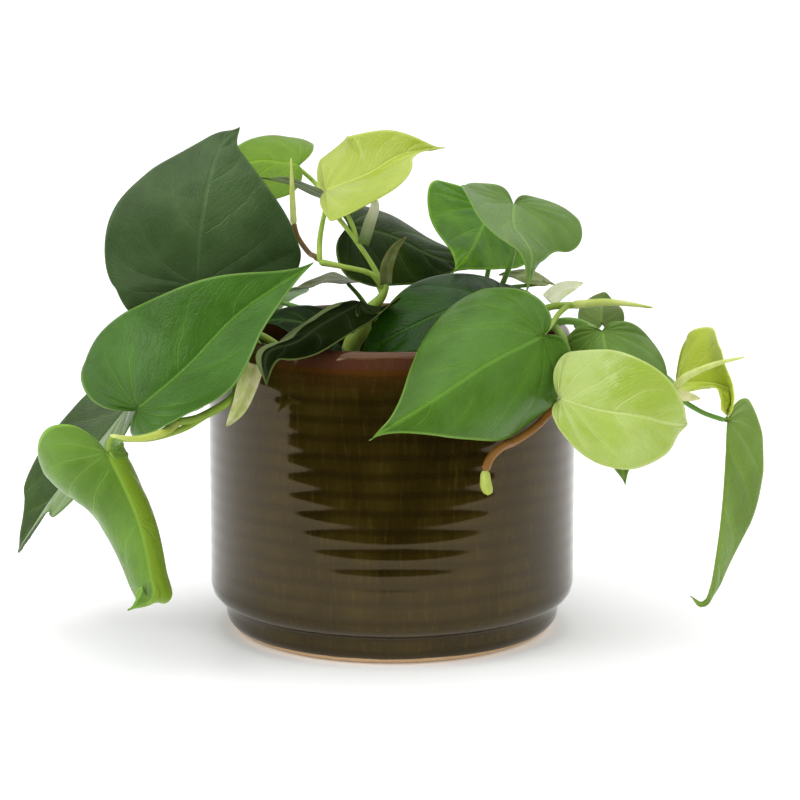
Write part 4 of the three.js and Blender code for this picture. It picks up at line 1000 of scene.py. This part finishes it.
def make_shoots():
    green = stem_material("green stem", "83a032", "9ab84a")
    petiole_green = stem_material("petiole green", "5f8c30", "7aa546")
    thick_green = stem_material("thick yellow green stem", "93b43c", "adc856")
    rust = stem_material("orange brown stem", "6f8a36", "7f9a44", low="8a5c1e", low_level=0.1)
    brown_tip = stem_material("brown shoot stem", "5a4510", "7a5c20")
    pale = stem_material("pale shoot", "a9b84a", "cdd684")
    looks = {
        "stem_main": (thick_green, "green_stem"), "shoot_tip_stem": (brown_tip, "woody_stem"),
        "shoot_tip_top": (pale, "green_stem"), "stem_left": (green, "green_stem"),
        "stem_right": (green, "green_stem"), "shoot_tip_left": (pale, "pale_sheath"),
        "shoot_tip_right": (pale, "green_stem"), "shoot_tip_far_right": (pale, "green_stem"),
        "stem_front_cut": (rust, "woody_stem"), "cut_end": (pale, "pale_sheath"),
    }
    tree = limb_tree()
    for name, limbs in SHOOTS.items():
        make_shoot(name, limbs, tree, *looks.get(name, (petiole_green, "green_stem")))


def make_leaves():
    pattern = leaf_pattern()
    for name, form in LEAVES.items():
        number = int(name[5:7])
        grid = LARGE_GRID if Blade(form).length > LARGE_LEAF else SMALL_GRID
        blade = blade_mesh(name + "_blade", form, grid, number, SMOOTH_LEAVES.get(number, 1.0))
        blade.data.materials.append(leaf_material(
            name.replace("_", " "), pattern, LEAF_COLOURS[name], 0.37 * number,
            HALF_TONES.get(name, NO_HALF_TONE), **LEAF_SHINE.get(number, {})))
        slot = next((s for s, numbers in LEAF_SLOTS.items() if number in numbers), "leaf_dark_green")
        keep_piece(blade, slot, name)
        blade.visible_glossy = number not in UNMIRRORED_LEAVES


def make_sheaths():
    papery = sheath_material("papery sheath", "b4bf66", "dcdcaa")
    looks = {
        "sheath_centre": sheath_material("green sheath", "66773c", "7f9058"),
        "sheath_top_flap": sheath_material("sheath with a pale tip", "dfe6bd", "f0f3dc", foot="5d7d30"),
        "sheath_right_back": sheath_material("pale papery sheath", "ccd4a0", "e4e8c8"),
    }
    for number, (name, form) in enumerate(SHEATHS.items()):
        flap = blade_mesh(name + "_flap", form, SHEATH_GRID, 60 + number, relief=0.6)
        flap.data.materials.append(looks.get(name, papery))
        keep_piece(flap, "pale_sheath", name)


# Studio, in metres

def stage_mesh(name, corners, faces, material):
    mesh = bpy.data.meshes.new(name)
    mesh.from_pydata(corners, [], faces)
    mesh.materials.append(material)
    return placed(name, mesh)


def light_the_air():
    """Even white light from all round, weaker from low down."""
    world = bpy.data.worlds.new("studio")
    bpy.context.scene.world = world
    world.use_nodes = True
    sky, air = Web(world.node_tree), world.node_tree.nodes["Background"]
    height = sky.apart(sky.add("ShaderNodeTexCoord").outputs["Generated"])[2]
    sky.feed(air.inputs["Strength"], sky.step(height, -0.05, 0.75, 0.55, 1.2))
    air.inputs["Color"].default_value = (1, 1, 1, 1)


def make_floor():
    material, shader, web, place = finish_material(
        "pale floor", Specular_IOR_Level=0.1, Emission_Color=(1, 1, 1, 1), Emission_Strength=0.12)
    tone = web.noise(place, 3.0, 2)
    web.feed(shader.inputs["Base Color"], web.blend(tone, colour("fafafa"), colour("fdfdfd")))
    web.feed(shader.inputs["Roughness"], web.plus(0.85, web.times(tone, 0.1)))
    corners = [(-9, -9, 0), (9, -9, 0), (9, 9, 0), (-9, 9, 0)]
    return stage_mesh("floor", corners, [(0, 1, 2, 3)], material)


def make_flags():
    """Flags that show only in reflections: on the floor before the pot, and upright far in front."""
    material, shader, web, place = finish_material("black flag cloth", Specular_IOR_Level=0.0)
    tone = web.noise(place, 40.0, 2)
    web.feed(shader.inputs["Base Color"], web.blend(tone, colour("0a0a0a"), colour("141414")))
    low = [(-0.42, -0.225, 0.001), (0.42, -0.225, 0.001), (4.4, -2.2, 0.001), (-4.4, -2.2, 0.001)]
    upright = [(-4.4, -2.2, 0.0), (4.4, -2.2, 0.0), (4.4, -2.2, 3.0), (-4.4, -2.2, 3.0)]
    flags = [stage_mesh(name, corners, [(0, 1, 2, 3)], material)
             for name, corners in (("floor flag", low), ("front flag", upright))]
    for flag in flags:
        flag.visible_camera = flag.visible_diffuse = flag.visible_shadow = flag.visible_transmission = False
    return flags


def make_backdrop():
    """A white drum round everything that only the camera sees."""
    material, shader, web, place = finish_material(
        "white backdrop", Emission_Strength=1.0, Base_Color=(0, 0, 0, 1))
    white = web.blend(web.noise(place, 0.5, 1), colour("fefefe"), colour("ffffff"))
    web.feed(shader.inputs["Emission Color"], white)
    sides, radius = 48, 8.5
    turns = [2 * math.pi * k / sides for k in range(sides)]
    ring = [(radius * math.cos(t), radius * math.sin(t)) for t in turns]
    walls = [(k, (k + 1) % sides, (k + 1) % sides + sides, k + sides) for k in range(sides)]
    backdrop = stage_mesh("backdrop", [(x, y, z) for z in (-0.01, 9.0) for x, y in ring],
                          walls + [tuple(range(sides, 2 * sides))], material)
    backdrop.visible_diffuse = backdrop.visible_glossy = backdrop.visible_shadow = False
    backdrop.visible_transmission = False
    return backdrop


def hang_lamps():
    for name, at, aim, width, tall, power in (
        ("top softbox", (-0.35, -0.3, 1.4), (0, 0, 0.08), 1.3, 1.3, 4.0),
        ("front left softbox", (-1.15, -0.85, 1.25), (0, 0, 0.1), 1.0, 0.35, 5.5),
        ("left softbox", (-1.5, -0.45, 0.7), (0, 0, 0.1), 0.5, 1.3, 1.2),
        ("right softbox", (1.5, -0.55, 0.7), (0, 0, 0.1), 0.5, 1.3, 1.1),
    ):
        lamp = bpy.data.lights.new(name, "AREA")
        lamp.shape, lamp.size, lamp.size_y, lamp.energy = "RECTANGLE", width, tall, power
        holder = placed(name, lamp)
        holder.location = at
        holder.rotation_euler = (Vector(aim) - Vector(at)).to_track_quat("-Z", "Y").to_euler()


def set_camera():
    lens = bpy.data.cameras.new("camera")
    lens.sensor_width, lens.lens = 36, 107.28
    lens.clip_start, lens.clip_end = 0.05, 40
    camera = placed("camera", lens)
    camera.location = (0.00304, -0.8994, 0.2449)
    looking_down = 0.1735
    camera.rotation_euler = (math.pi / 2 - looking_down, 0, 0)
    bpy.context.scene.camera = camera
    bpy.context.scene.view_settings.view_transform = "Standard"


make_pot()
make_soil()
make_shoots()
make_leaves()
make_sheaths()
light_the_air()
make_floor()
make_backdrop()
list(make_flags())
hang_lamps()
set_camera()
